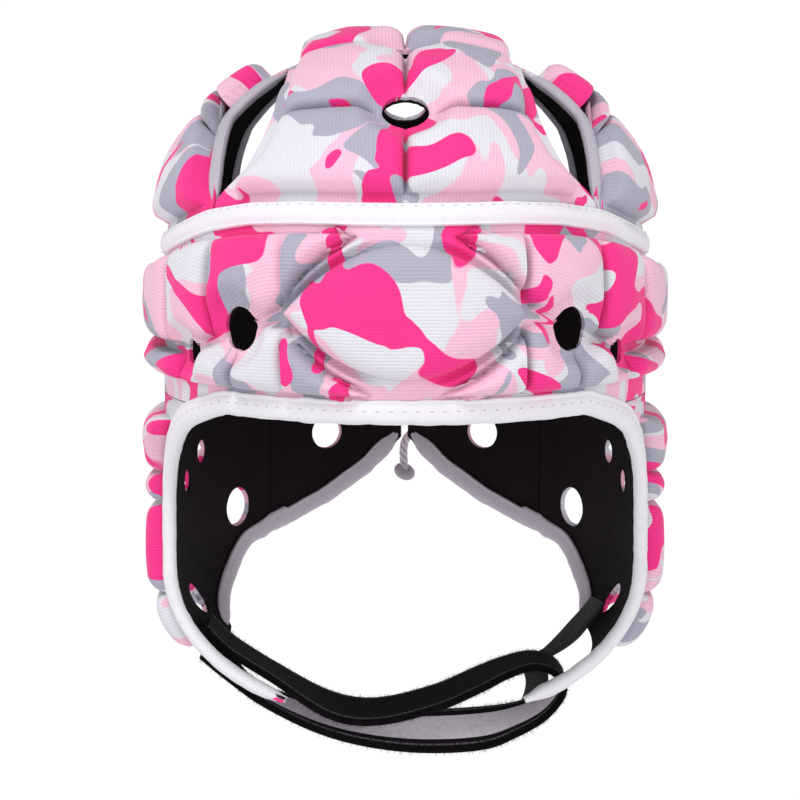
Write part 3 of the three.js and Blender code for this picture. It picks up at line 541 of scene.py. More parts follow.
# Lining: black warp-knit polyamide, matt, with a fine diagonal grain drawn 0.9 mm wide so that it shows
def makeLining():
    material, tree, place = newMaterial("blackWarpKnitLining")
    grain = threads(tree, place, 0.9, "DIAGONAL", Distortion=0.4)
    wear = speckle(tree, place, 6.0, 4.0)
    tone = plus(tree, times(tree, grain, 0.35), times(tree, wear, 0.65))
    colour = mixColour(tree, tone, linear("#0D080B"), linear("#241B21"))
    finishMaterial(tree, colour, 0.9, grain, 0.00015, 0.4, gloss=0.15)
    return material


# Binding tape: woven polyester, ribs 0.8 mm apart across it, lock-stitched 4 mm a stitch in one row
tapeLook = {"ribs": 0.8, "stitches": 25.0, "stitch": 0.3, "thread": 0.0026, "threadColour": "#9A95A4"}


def makeTape(name, light, shade, row):
    material, tree, place = newMaterial(name)
    look = tapeLook
    axes = addNode(tree, "ShaderNodeSeparateXYZ", {"Vector": place})
    weave = threads(tree, place, look["ribs"], "X", Distortion=0.5, Detail=1.0)
    fuzz = speckle(tree, place, 90.0, 3.0)
    tone = plus(tree, times(tree, weave, 0.4), times(tree, fuzz, 0.6))
    near = maths(tree, "LESS_THAN", awayFrom(tree, axes.outputs[1], row), look["thread"])
    beat = maths(tree, "FRACT", times(tree, axes.outputs[0], look["stitches"]))
    thread = times(tree, near, maths(tree, "LESS_THAN", beat, look["stitch"]))
    colour = mixColour(tree, tone, linear(shade), linear(light))
    colour = mixColour(tree, times(tree, thread, 0.4), colour, linear(look["threadColour"]))
    height = maths(tree, "SUBTRACT", plus(tree, weave, fuzz), times(tree, near, 0.8))
    finishMaterial(tree, colour, 0.78, height, 0.0001, 0.3, sheen=0.12)
    return material


# Strap: black brushed loop velour on one face, a broken seam line 2.1 mm in from each edge
velourLook = {"pile": 130.0, "seam": 0.104, "seamHalf": 0.006}


def makeStrap():
    material, tree, place = newMaterial("blackLoopVelour")
    across = addNode(tree, "ShaderNodeSeparateXYZ", {"Vector": place}).outputs[1]
    pile = speckle(tree, place, velourLook["pile"], 4.0, 0.7)
    tone = plus(tree, times(tree, pile, 0.7), times(tree, speckle(tree, place, 9.0, 2.0), 0.3))
    inset = awayFrom(tree, maths(tree, "ABSOLUTE", across), velourLook["seam"])
    line = maths(tree, "LESS_THAN", inset, velourLook["seamHalf"])
    line = times(tree, line, ranged(tree, pile, 0.45, 0.55))
    colour = mixColour(tree, tone, linear("#050305"), linear("#1C171B"))
    colour = mixColour(tree, times(tree, line, 0.7), colour, linear("#8E8790"))
    finishMaterial(tree, colour, 1.0, pile, 0.0006, 0.8, sheen=0.03, gloss=0.05)
    return material


# Back of the strap: pale lavender hook tape, hooks about 1.3 mm apart
def makeHook():
    material, tree, place = newMaterial("paleHookTape")
    hooks = pits(tree, place, 75.0)
    colour = mixColour(tree, hooks, linear("#FFFCFF"), linear("#E8E0EB"))
    colour = mixColour(tree, times(tree, speckle(tree, place, 5.0), 0.2), colour, linear("#C9BFCE"))
    finishMaterial(tree, colour, 0.8, hooks, 0.0003, 0.5, sheen=0.1)
    return material


# Twilled goods: the keeper's black polypropylene webbing, and the lace's braided polyester cord
def makeTwill(name, spacing, dark, light, roughness, distance, strength, gloss):
    material, tree, place = newMaterial(name)
    lines = threads(tree, place, spacing, "DIAGONAL")
    colour = mixColour(tree, lines, linear(dark), linear(light))
    finishMaterial(tree, colour, roughness, lines, distance, strength, gloss=gloss)
    return material


knitMaterial = makeKnit()
foamPaintedShadeMaterial = makeFoam()
liningMaterial = makeLining()
whiteTape = makeTape("whiteBindingTape", "#F8F7FA", "#E4E0E9", 0.035)
greyTape = makeTape("greyBindingTape", "#CDC8D4", "#ABA6B6", 0.025)
# the nape binding is white tape; its lilac grey colours are painted shade
napeTapePaintedShade = makeTape("napeBindingTapePaintedShade", "#DDD3DF", "#BDB2C2", 0.03)
strapMaterial = makeStrap()
hookMaterial = makeHook()
webbingMaterial = makeTwill("blackWovenWebbing", 0.6, "#2E292D", "#3D373C", 0.7, 0.0002, 0.6, 0.2)
laceMaterial = makeTwill("braidedPolyesterCord", 1.4, "#A9A3AC", "#E2DDE4", 0.75, 0.0003, 0.7, 0.3)
print("materials made")


# Forehead band: a lens pad in front, two rows of pads beside it

bandQuilt = {
    "columnUpper": [0, 26, 47.5, 64, 88, 113, 137.5, 141],
    "columnLower": [0, 26, 40.5, 60, 87, 113, 137.5, 141],
    "grooveAzimuth": [26, 39, 56, 141], "grooveShare": [0.498, 0.409, 0.279, 0.458],
    "lensReach": 26.0, "lensFoot": 0.30, "lensTop": 0.31, "groove": 0.052,
    "faceRim": 0.0073, "seamRim": 0.006,
    "ridgeOut": 0.0031, "ridgeHalf": 0.0016, "ridgeRise": 0.0022, "ridgeStart": (0.006, 0.016),
    "ridgeStop": (0.036, 0.042), "setBack": 0.043, "lensEdge": 0.0095, "beside": (0.004, 0.02),
}
lensColumns = (6, 7)
bandHoles = []
for azimuth, share, diameter in ((39, 0.434, 0.014), (56, 0.305, 0.008)):
    height = lerp(-seams["browDrop"], float(seamHeight(azimuth)), share)
    bandHoles += [holeAt(aroundHead, side * azimuth, levelOf(height), diameter) for side in (-1, 1)]


def bandChart(row, column):
    q = bandQuilt
    row, column = together(row, column)
    steps = np.arange(len(q["columnUpper"]))
    upper = np.interp(np.abs(column), steps, q["columnUpper"])
    lower = np.interp(np.abs(column), steps, q["columnLower"])
    azimuth = np.sign(column) * lerp(lower, upper, smoothStep(row, 2, 3))
    away = np.abs(azimuth)
    lens = np.clip(1 - (away / q["lensReach"]) ** 2, 0, 1)
    groove = np.interp(away, q["grooveAzimuth"], q["grooveShare"])
    seam = seamHeight(azimuth)
    drop = -seams["browDrop"]
    lines = np.stack([
        np.full_like(azimuth, drop), np.full_like(azimuth, drop + q["faceRim"]),
        lerp(drop, seam, groove - q["lensFoot"] * lens),
        lerp(drop, seam, groove + q["groove"] + q["lensTop"] * lens),
        seam - q["seamRim"], seam - walls["gap"],
    ])
    return azimuth, levelOf(onLines(lines, row))


def bandIsPad(row, column):
    if column in (0, 13) or row in (0, 4):
        return False
    return row != 2 or column in lensColumns


def bandHeight(info, edge):
    q = bandQuilt
    rows = info["rowCells"][:, None]
    inLens = np.isin(info["columnCells"], lensColumns)[None, :]
    upTo = info["down"] - info["rowLow"]
    downTo = info["rowHigh"] - info["down"]
    reach = np.abs(info["along"])
    setBack = 2 * q["ridgeOut"] * np.exp(-(reach / q["setBack"]) ** 8)
    toRow = np.where(rows == 3, np.minimum(upTo - setBack, downTo), info["toRow"])
    toRow = np.where(rows == 1, np.minimum(upTo, downTo - setBack), toRow)
    free = roundedRise(np.maximum(toRow, 0), edge)
    pads = free * roundedRise(info["toColumn"], edge)
    lens = roundedRise(info["toRow"], q["lensEdge"])
    beside = free * smoothStep(reach, *q["beside"])
    return np.where(inLens, np.where(rows == 2, lens, beside), pads)


def bandRidge(info):
    q = bandQuilt
    rows = info["rowCells"][:, None]
    inLens = np.isin(info["columnCells"], lensColumns)[None, :]
    away = np.where(rows == 1, info["rowHigh"] - info["down"], 1)
    away = np.where(rows == 3, info["down"] - info["rowLow"], away)
    ridge = np.exp(-((away - q["ridgeOut"]) / q["ridgeHalf"]) ** 2)
    reach = np.abs(info["along"])
    fade = smoothStep(reach, *q["ridgeStart"]) * (1 - smoothStep(reach, *q["ridgeStop"]))
    return np.where(inLens, q["ridgeRise"] * ridge * fade, 0)


bandInfo = quiltSurface(aroundHead, bandChart, list(range(6)), list(range(-7, 8)), bandIsPad, bandHoles,
                        bandRidge, bandHeight)
paddedPanel("foreheadBandKnit", "forehead_band", aroundHead, bandInfo, bandHoles, False, (0.0, 0.0))
liningSheet("foreheadLiningCloth", "forehead_lining", aroundHead, bandInfo, bandHoles)
print("forehead band done")


# Crown strip: four pads in front of the crown's top, four behind, holes on the middle line

crownQuilt = {
    "centre": [-56, -44.6, -31, -18.8, 6, 22, 44.6, 56],
    "edge": [-42.6, -35.5, -24, -17, 6, 19, 35.5, 42.6],
    "flare": [14, 6, 2.4, 0.6, 0, 0.4, 6, 14],
    "grooves": [3, 5, 6, 8],
    "columns": [-1, -0.86, 0, 0.86, 1], "seamRim": 0.006,
}
crownHoles = [holeAt(overHead, 0.0, *hole) for hole in ((-44.6, 0.015), (-18.8, 0.012), (44.6, 0.015))]


def crownChart(row, side):
    q = crownQuilt
    row, side = together(row, side)
    azimuth = side * seams["crownReach"]
    lines = [seamFromTop(azimuth, lift) for lift in (walls["gap"], q["seamRim"])]
    for centre, edge, flare in zip(q["centre"], q["edge"], q["flare"]):
        lines.append((side * (seams["crownHalf"] + flare), lerp(centre, edge, side * side)))
    lines += [seamFromTop(180 - azimuth, lift) for lift in (q["seamRim"], walls["gap"])]
    across, along = np.moveaxis(np.array(lines), 1, 0)
    return onLines(across, row, True), onLines(along, row, True)


crownRows = [0, 1] + crownQuilt["grooves"] + [10, 11]
crownInfo = quiltSurface(overHead, crownChart, crownRows, crownQuilt["columns"],
                         lambda r, c: 0 < r < len(crownRows) - 2 and 0 < c < 3, crownHoles)
makePanel("crown", "crown_panel", overHead, crownInfo, crownHoles, True, (2.3, 5.1))
print("crown done")


# Temple panels between the front and rear vents, modelled once and mirrored

templeQuilt = {
    "front": [(28.0, -3), (32, -5.5), (44.3, -14), (48.3, -27.5)],
    "rear": [(28.0, 17.5), (32.5, 20), (43, 26), (47.3, 31)], "lift": [0, 0, 5, 8],
    "columns": [0, 0.1, 0.5, 0.9, 1], "rows": [0, 1, 3, 4, 5], "seamRim": 0.006, "ventRim": 0.0044,
    "ventThin": 0.0007,
}


def rimmed(columns, share, front, rear):
    # moves a column's share so that the end columns are rims of fixed width
    start, end = columns[1], columns[-2]
    share = np.asarray(share, float)
    inner = lerp(front, 1 - rear, (share - start) / (end - start))
    first = front * share / start
    final = lerp(1 - rear, 1, (share - end) / (1 - end))
    return np.where(share < start, first, np.where(share > end, final, inner))


def rimShare(between, row, end, rim):
    probe = 0.02
    point = between(row, end)
    inside = between(row, abs(end - probe)) - point
    onward = between(row + probe, end) - point
    long = np.linalg.norm(inside, axis=-1)
    slant = np.linalg.norm(np.cross(inside, onward), axis=-1) / (long * np.linalg.norm(onward, axis=-1))
    return np.minimum(probe * rim / (long * slant), 0.35)


def templePlain(row, share):
    q = templeQuilt
    row, share = together(row, share)
    lines = []
    for front, rear, lift in zip(q["front"], q["rear"], q["lift"]):
        if lift == 0:
            lines.append((lerp(front[0], rear[0], share), lerp(front[1], rear[1], share)))
        else:
            fall = lerp(math.hypot(*front), math.hypot(*rear), share) - 4 * lift * share * (1 - share)
            angle = lerp(math.atan2(front[0], -front[1]), math.atan2(rear[0], -rear[1]), share)
            lines.append((fall * np.sin(angle), -fall * np.cos(angle)))
    azimuth = lerp(seams["crownReach"] + 1, 179 - seams["crownReach"], share)
    lines += [seamFromTop(azimuth, lift) for lift in (q["seamRim"], walls["gap"])]
    across, along = np.moveaxis(np.array(lines), 1, 0)
    return onLines(across, row), onLines(along, row)


def withRims(surface, plain, columns, frontRim, rearRim):
    # the same chart with end columns that are rims of fixed width
    def between(row, share):
        return surface(*plain(row, share))

    def chart(row, share):
        front = rimShare(between, row, 0.0, frontRim)
        rear = rimShare(between, row, 1.0, rearRim)
        return plain(row, rimmed(columns, share, front, rear))

    return chart


def thinRim(info):
    onRim = np.isin(info["columnCells"], (0, 3))[None, :]
    return -templeQuilt["ventThin"] * np.where(onRim, smoothStep(info["toColumn"], -0.001, 0.003), 0)


templeChart = withRims(overHead, templePlain, templeQuilt["columns"], templeQuilt["ventRim"],
                       templeQuilt["ventRim"])
templeInfo = quiltSurface(overHead, templeChart, templeQuilt["rows"], templeQuilt["columns"],
                          lambda r, c: 0 < r < 3 and 0 < c < 3, extra=thinRim)
for label, shift in (("right", (9.4, 2.2)), ("left", (4.8, 7.7))):
    makePanel(label + "Temple", label + "_temple_panel", overHead, templeInfo, [], True, shift, sides[label])
print("temples done")


# Rear panels with the laced slit between them

rearQuilt = {"shares": [0, 0.07, 0.35, 0.63, 0.91, 1], "columns": [141.4, 145.4, 159, 174.9, 179.1]}


def rearLevel(azimuth, share):
    foot = dropLevel(np.interp(azimuth, napeEdge["azimuth"], napeEdge["drop"]))
    top = seamHeight(azimuth) - walls["gap"]
    return np.where(np.asarray(share) >= 1, foot, levelOf(lerp(top, foot * headForm["side"], share)))


def rearChart(row, azimuth):
    row, azimuth = together(row, azimuth)
    return azimuth, rearLevel(azimuth, np.interp(row, range(6), rearQuilt["shares"]))


rearHoles = [holeAt(aroundHead, 158.5, float(rearLevel(158.5, 0.75)), 0.012)]
rearInfo = quiltSurface(aroundHead, rearChart, list(range(6)), rearQuilt["columns"],
                        lambda r, c: 0 < r < 4 and 0 < c < 3, rearHoles)
for label, shift in (("right", (1.6, 9.3)), ("left", (6.1, 12.4))):
    makePanel(label + "Rear", label + "_rear_panel", aroundHead, rearInfo, rearHoles, False, shift,
              sides[label])
print("rear panels done")


# Cheek panels, ending in the flaps that carry the strap

cheekQuilt = {
    "front": [45.5, 61, 70, 76.5, 79.5, 80.5, 80, 79.5, 78, 75.5],
    "frontDrop": [0, 0.046, 0.108, 0.18, 0.252, 0.336, 0.412, 0.469, 0.542, 0.615],
    "rear": [141, 141, 141, 141, 141, 141, 141, 133.5, 126, 119],
    "rearDrop": [0, 0.04, 0.108, 0.18, 0.252, 0.336, 0.406, 0.437, 0.506, 0.562],
    "grooves": [0, 1, 3, 4, 7, 9], "columns": [0, 0.1, 0.5, 0.9, 1],
    "faceRim": 0.0073, "napeRim": 0.0062,
    "leftEnd": [(72, 0.704, 114.5, 0.599), (68, 0.79, 111, 0.636)], "rightEnd": [(73.5, 0.672, 112.8, 0.618)],
}
cheekHoles = [
    holeAt(aroundHead, azimuth, float(dropLevel(share)), size)
    for azimuth, share, size in (
        (114.5, 0.183, 0.008), (106, 0.238, 0.008), (130, 0.336, 0.014), (104, 0.534, 0.012))
]


def cheekTable(ends):
    columns = [cheekQuilt[name] for name in ("front", "frontDrop", "rear", "rearDrop")]
    return [np.array(column + [end[k] for end in ends]) for k, column in enumerate(columns)]


def cheekPlain(table, row, share):
    row, share = together(row, share)
    front, frontDrop, rear, rearDrop = (through(column, row) for column in table)
    return lerp(front, rear, share), dropLevel(lerp(frontDrop, rearDrop, share))


def cheekChart(table):
    def plain(row, share):
        return cheekPlain(table, row, share)

    return withRims(aroundHead, plain, cheekQuilt["columns"], cheekQuilt["faceRim"], cheekQuilt["napeRim"])


cheekTables = {"left": cheekTable(cheekQuilt["leftEnd"]), "right": cheekTable(cheekQuilt["rightEnd"])}
for label, shift in (("right", (12.9, 3.8)), ("left", (8.6, 10.2))):
    table = cheekTables[label]
    borders = cheekQuilt["grooves"] + list(range(10, len(table[0])))
    info = quiltSurface(aroundHead, cheekChart(table), borders, cheekQuilt["columns"],
                        lambda r, c: 0 < r < 5 and 0 < c < 3, cheekHoles)
    makePanel(label + "Cheek", label + "_cheek_panel", aroundHead, info, cheekHoles, False, shift,
              sides[label])
print("cheeks done")


# Tapes and bindings: one section carried along an edge

def edgePlaces(surface, line, inwardSign, closed=False):
    line = np.asarray(line, float)
    count = len(line)
    points = surface(line[:, 0], line[:, 1])
    probe = 0.001
    alongU = (surface(line[:, 0] + probe, line[:, 1]) - points) / probe
    alongV = (surface(line[:, 0], line[:, 1] + probe) - points) / probe
    normal = unit(np.cross(alongU, alongV))
    out = surface(line[:, 0], line[:, 1], 0.001) - points
    normal *= np.sign(np.sum(normal * out, axis=1))[:, None]
    steps = []
    for k in range(count):
        before = (k - 1) % count if closed else max(k - 1, 0)
        after = (k + 1) % count if closed else min(k + 1, count - 1)
        halves = []
        for a, b in ((before, k), (k, after)):
            if a != b:
                halves.append(unit(np.cross(normal[k], points[b] - points[a]) * inwardSign))
        first, second = halves[0], halves[-1]
        inward = (first + second) / (1 + first @ second)
        u, v = alongU[k], alongV[k]
        steps.append(np.linalg.solve([[u @ u, u @ v], [u @ v, v @ v]], [inward @ u, inward @ v]))
    steps = np.array(steps)

    def places(into, outBy):
        into, outBy = np.asarray(into, float)[None, :], np.asarray(outBy, float)[None, :]
        u = line[:, :1] + into * steps[:, :1]
        v = line[:, 1:] + into * steps[:, 1:]
        return surface(u, v, outBy)

    return places, points


def sweptPiece(name, positions, points, around, closed, material, node):
    # positions: along by around; the first and last column meet, the ends are filled unless closed
    rows = np.concatenate([positions, positions[:1]]) if closed else positions
    rows = np.concatenate([rows, rows[:, :1]], axis=1)
    lengths = lengthsOf(points)
    if closed:
        lengths = np.append(lengths, lengths[-1] + np.linalg.norm(positions[0, 0] - positions[-1, 0]))
    around = np.append(around, around[-1] + 0.001)
    uv = np.stack(np.broadcast_arrays(lengths[:, None] * 10, around[None, :] * 10), axis=-1)
    piece = laidGrid(name, rows, uv)[0]
    inEditMode(piece)
    bpy.ops.mesh.remove_doubles(threshold=0.00001)
    if not closed:
        bpy.ops.mesh.select_all(action="SELECT")
        bpy.ops.mesh.fill_holes(sides=0)
    bpy.ops.mesh.select_all(action="SELECT")
    bpy.ops.mesh.normals_make_consistent(inside=False)
    bpy.ops.object.mode_set(mode="OBJECT")
    bpy.ops.object.shade_smooth_by_angle(angle=math.radians(60))
    piece.data.materials.append(material)
    standFor(piece, node)
    return piece


def lengthsOf(points):
    return np.concatenate([[0], np.cumsum(np.linalg.norm(np.diff(points, axis=0), axis=1))])


def foldedTape(width, wall):
    # section of a tape folded round an edge: outer leg, fold, inner leg, then back inside
    t, gap = walls["tape"], walls["gap"]
    outer = wall + 0.0002
    inner = -0.0002
    full = outer + t
    foot = inner - t
    mid = (full + foot) / 2
    section = [
        (width, outer + 0.3 * t), (width - 0.0003, full), (width - 0.001, full + 0.0001),
        (width - 0.0014, full - 0.0002), (width - 0.0019, full + 0.0002), (width / 2, full + 0.0004),
        (0.0006, full + 0.00025), (-0.0004, full - 0.0002), (-0.0011, full - 0.0009),
        (-0.0014, mid + 0.0006), (-0.00145, mid), (-0.0014, mid - 0.0006),
        (-0.0011, foot + 0.0009), (-0.0004, foot + 0.0002), (0.0006, foot - 0.0001),
        (width / 2, foot - 0.0002), (width - 0.0014, foot + 0.0001), (width - 0.0003, foot),
        (width, inner - 0.3 * t), (width, inner), (-gap, inner), (-gap, outer), (width, outer),
    ]
    section = np.array(section)
    around = np.array([width - p[0] if k < 11 else 0.02 + k * 0.001 for k, p in enumerate(section)])
    return section, around


# Bindings are pinched at their ends and swell and shrink along the way
bindingLook = {"pinch": 0.45, "pinchReach": 0.008, "slow": 0.09, "quick": 0.05}


def wavyEdge(count, seed, amount):
    # slow unevenness of hand-guided sewing
    return np.array([noise.noise(Vector((k * 0.35, seed, 0.0))) for k in range(count)]) * amount


def binding(name, node, surface, line, sign, width, material, wall=walls["seam"], side=sides["right"]):
    places, points = edgePlaces(surface, line, sign)
    section, around = foldedTape(width, wall)
    rows = places(section[:, 0], section[:, 1])
    middle = rows.mean(axis=1, keepdims=True)
    lengths = lengthsOf(points)
    toEnd = np.minimum(lengths, lengths[-1] - lengths)
    look = bindingLook
    pinch = lerp(look["pinch"], 1, smoothStep(toEnd, 0, look["pinchReach"]))
    uneven = 1 + wavyEdge(len(rows), 3.3, look["slow"]) + wavyEdge(len(rows) * 2, 8.1, look["quick"])[::2]
    rows = middle + (rows - middle) * (pinch * uneven)[:, None, None]
    sweptPiece(name, rows * side, points, around, False, material, node)


def cheekEdge(table, share, start=0.0):
    last = len(table[0]) - 1
    rows = np.arange(start, last + 1e-6, 0.12)
    rows = np.append(rows, last) if rows[-1] < last - 1e-3 else rows
    azimuth, level = cheekPlain(table, rows, share)
    return np.stack([azimuth, level], axis=1)


faceDown = cheekEdge(cheekTables["left"], 0.0)
faceUp = faceDown[::-1] * np.array([-1, 1])
browAzimuth = np.linspace(-44, 44, 55)
browLine = np.stack([browAzimuth, np.full(55, -seams["browDrop"] / headForm["side"])], axis=1)
faceLine = np.concatenate([faceUp, browLine, faceDown])
binding("faceBindingTape", "face_binding", aroundHead, faceLine, 1, 0.0065, whiteTape)

napeAzimuth = np.linspace(179.1, 141.6, 26)
napeLine = np.stack([napeAzimuth, rearLevel(napeAzimuth, 1.0)], axis=1)
for label, side in sides.items():
    line = np.concatenate([napeLine, cheekEdge(cheekTables[label], 1.0, 6.1)])
    binding(label + "NeckBindingTape", label + "_neck_binding", aroundHead, line, -1, 0.005, napeTapePaintedShade,
            side=side)

for place, share in (("front", 0.0), ("rear", 1.0)):
    rows = np.linspace(0.12, 4, 34)
    across, along = templePlain(rows, share)
    line = np.stack([across, along], axis=1)
    for label, side in sides.items():
        binding(f"{label}{place.capitalize()}VentTape", f"{label}_{place}_vent_binding", overHead, line,
                1 if share == 0 else -1, 0.0032, greyTape, 0.0015, side)

browTapeLook = {"half": 0.0035, "steps": 220}
azimuths = -180 + 360 * np.arange(browTapeLook["steps"]) / browTapeLook["steps"]
tapeLine = np.stack([azimuths, levelOf(seamHeight(azimuths))], axis=1)
places, points = edgePlaces(aroundHead, tapeLine, 1, True)
half, base = browTapeLook["half"], walls["seam"] + 0.0001
section = np.array([
    (-half, base), (-half, base + 0.0006), (-half + 0.0003, base + 0.0011), (-half + 0.001, base + 0.0009),
    (-half + 0.0016, base + 0.0014), (0, base + 0.0017), (half - 0.0016, base + 0.0014),
    (half - 0.001, base + 0.0009), (half - 0.0003, base + 0.0011), (half, base + 0.0006), (half, base),
])
sweptPiece("browTapeWoven", places(section[:, 0], section[:, 1]), points,
           half - section[:, 0] + 0.0025, True, whiteTape, "brow_tape")
print("tapes and bindings done")


# Chin strap: outside the left flap, under the chin, round the keeper and back inside the flap

strapLook = {
    "outerLevels": [-1.4, -1.5], "outerOut": 0.0049, "innerLevels": [-1.46, -1.39, -1.32],
    "innerOut": -0.0028, "azimuth": 95.0,
    "route": [(-0.59, 0.979), (-0.316, 1.129), (0, 1.192), (0.316, 1.183), (0.481, 1.125), (0.608, 1.029),
              (0.681, 0.883), (0.643, 0.754), (0.551, 0.704), (0.443, 0.742), (0.316, 0.829), (0.127, 0.958),
              (-0.127, 1.054), (-0.329, 1.008), (-0.565, 0.792)],
    "lean": [0, 0, 0, 0.18, 0.3, 0.32, 0.2, 0.1, 0, 0, 0, 0.04, 0.1, 0.1, 0.1, 0.1, 0, 0, 0, 0],
    "back": -0.12, "bow": 0.56, "width": 0.025, "thick": 0.0024, "steps": 240, "pileRim": 0.0052,
    "fibres": 12000, "fibreHalf": 0.00006, "fibreRoot": 0.0004,
}


def strapStops():
    q = strapLook
    foot = -headForm["dome"] - headForm["side"]
    route = [(x * headForm["halfWidth"], foot - drop * headForm["jaw"]) for x, drop in q["route"]]
    outer = aroundHead(-q["azimuth"], q["outerLevels"], q["outerOut"])[:, [0, 2]]
    inner = aroundHead(-q["azimuth"], q["innerLevels"], q["innerOut"])[:, [0, 2]]
    return np.concatenate([outer, route, inner])


def makeStrapPiece():
    q = strapLook
    stops = strapStops()
    at = np.linspace(0, len(stops) - 1, q["steps"])
    x, z = through(stops[:, 0], at), through(stops[:, 1], at)
    share = x / headForm["halfWidth"]
    y = -headForm["jawForward"] * (q["back"] + q["bow"] * (1 - share * share))
    points = np.stack([x, y, z], axis=1)
    normal = np.cross(unit(np.gradient(np.stack([x, 0 * x, z], axis=1), axis=0)), [0, 1, 0])
    half, thick = q["width"] / 2, q["thick"] / 2
    edge = [(half, 0.0), (half - 0.0003, 0.7), (half - 0.0012, 1.0)]
    inner = np.linspace(-half + 0.003, half - 0.003, 9)
    shape = [(-s, z) for s, z in edge]
    shape += [(s, 1.0 - 0.06 * math.cos(s / half * 1.5)) for s in inner]
    shape += edge[::-1] + [(s, -z) for s, z in edge[1:]]
    shape += [(s, -1.0) for s in inner[::-1]] + [(-s, -z) for s, z in edge[:0:-1]]
    shape = np.array(shape)
    rows = points[:, None, :] + normal[:, None, :] * (shape[None, :, 1:] * thick)
    lean = through(q["lean"], at)
    across = np.stack([0 * lean, 1 + 0 * lean, lean], axis=1)
    rows = rows + across[:, None, :] * shape[None, :, :1]
    piece = sweptPiece("chinStrapVelour", rows, points, shape[:, 0], False, strapMaterial,
                       "chin_strap")
    piece.data.materials.append(hookMaterial)
    faces = piece.data.polygons
    centres = readAll(faces, "center", 3)
    nearest = np.argmin(((centres[:, None] - points[None]) ** 2).sum(axis=2), axis=1)
    facing = np.sum(readAll(faces, "normal", 3) * normal[nearest], axis=1)
    away = np.abs(centres - points[nearest])[:, 1]
    faces.foreach_set("material_index", ((facing > 0.75) & (away < half - q["pileRim"])).astype(np.int32))
    makeStrapFuzz(piece, points, across, normal)


def makeStrapFuzz(strap, points, across, normal):
    # loose pile along both edges: thin three-cornered fibres, joined to the strap
    q = strapLook
    random = np.random.default_rng(7)
    count = q["fibres"]
    at = random.uniform(1, len(points) - 2, count)
    low = np.floor(at).astype(int)
    part = (at - low)[:, None]

    def between(values):
        return values[low] * (1 - part) + values[low + 1] * part

    side = np.where(random.random(count) < 0.5, -1.0, 1.0)[:, None]
    lift = random.uniform(-1, 1, count)[:, None]
    root = between(points) + between(across) * side * (q["width"] / 2 - q["fibreRoot"])
    root = root + between(normal) * lift * q["thick"] * 0.45
    way = between(across) * side * 0.8 + between(normal) * (lift * 0.9 + random.normal(0, 0.25, (count, 1)))
    way = unit(way + random.normal(0, 0.35, (count, 3)))
    long = random.uniform(0.0006, 0.002, count)[:, None]
    flank = unit(np.cross(way, random.normal(0, 1, (count, 3)))) * q["fibreHalf"]
    corners = np.stack([root - flank, root + flank, root + way * long], axis=1).reshape(-1, 3)
    mesh = bpy.data.meshes.new("strapFuzz")
    mesh.from_pydata(corners.tolist(), [], np.arange(3 * count).reshape(-1, 3).tolist())
    mesh.uv_layers.new(name="UVMap")
    mesh.materials.append(strapMaterial)
    fuzz = bpy.data.objects.new("strapFuzz", mesh)
    bpy.context.scene.collection.objects.link(fuzz)
    makeActive(strap)
    fuzz.select_set(True)
    bpy.ops.object.join()


makeStrapPiece()


# Keeper webbing on the right flap: azimuth, share of the drop and how far out, in thicknesses
keeperLook = {
    "route": [(106.5, 0.55, -2.1), (108, 0.632, -2.0), (109.5, 0.713, -0.8), (110.7, 0.757, -0.4),
              (90, 0.778, 0.2), (74, 0.783, 0.8)],
    "half": 0.004, "wider": 0.007, "thick": 0.0016, "steps": 60,
}


def makeKeeper():
    q = keeperLook
    route = np.array(q["route"])
    at = np.linspace(0, len(route) - 1, q["steps"])
    line = np.stack([through(route[:, 0], at), dropLevel(through(route[:, 1], at))], axis=1)
    outs = through(route[:, 2], at) * q["thick"]

    def lifted(u, v, out=0.0):
        return aroundHead(u, v, np.asarray(out) + (outs[:, None] if np.ndim(out) > 1 else outs))

    half = q["half"]
    edge = [(half, 0.0), (half - 0.0002, 0.8), (half - 0.0009, 1.0)]
    upper = np.array([(-s, z) for s, z in edge] + [(0.0, 0.85)] + edge[::-1])
    shape = np.concatenate([upper, upper[-2:0:-1] * [1, -1]])
    # wider towards the face where it leaves the flap
    spread = lerp(q["wider"], 0.0, smoothStep(at, 1.2, 2.4))[:, None]
    into = shape[None, :, 0] - spread * (half - shape[None, :, 0]) / (2 * half)
    places, points = edgePlaces(lifted, line, 1)
    rows = places(into, 0 * into + shape[None, :, 1] * q["thick"] / 2)[0]
    sweptPiece("strapKeeperWebbing", rows, points, shape[:, 0], False, webbingMaterial,
               "strap_keeper")


makeKeeper()
print("strap and keeper done")


# Lace over the slit behind, with its knot
laceLook = {
    "turn": 176.6, "foot": 0.114, "rise": 0.139, "crossings": 5, "tail": 0.011, "diameter": 0.003,
    "knot": 0.0082, "steps": 150,
}


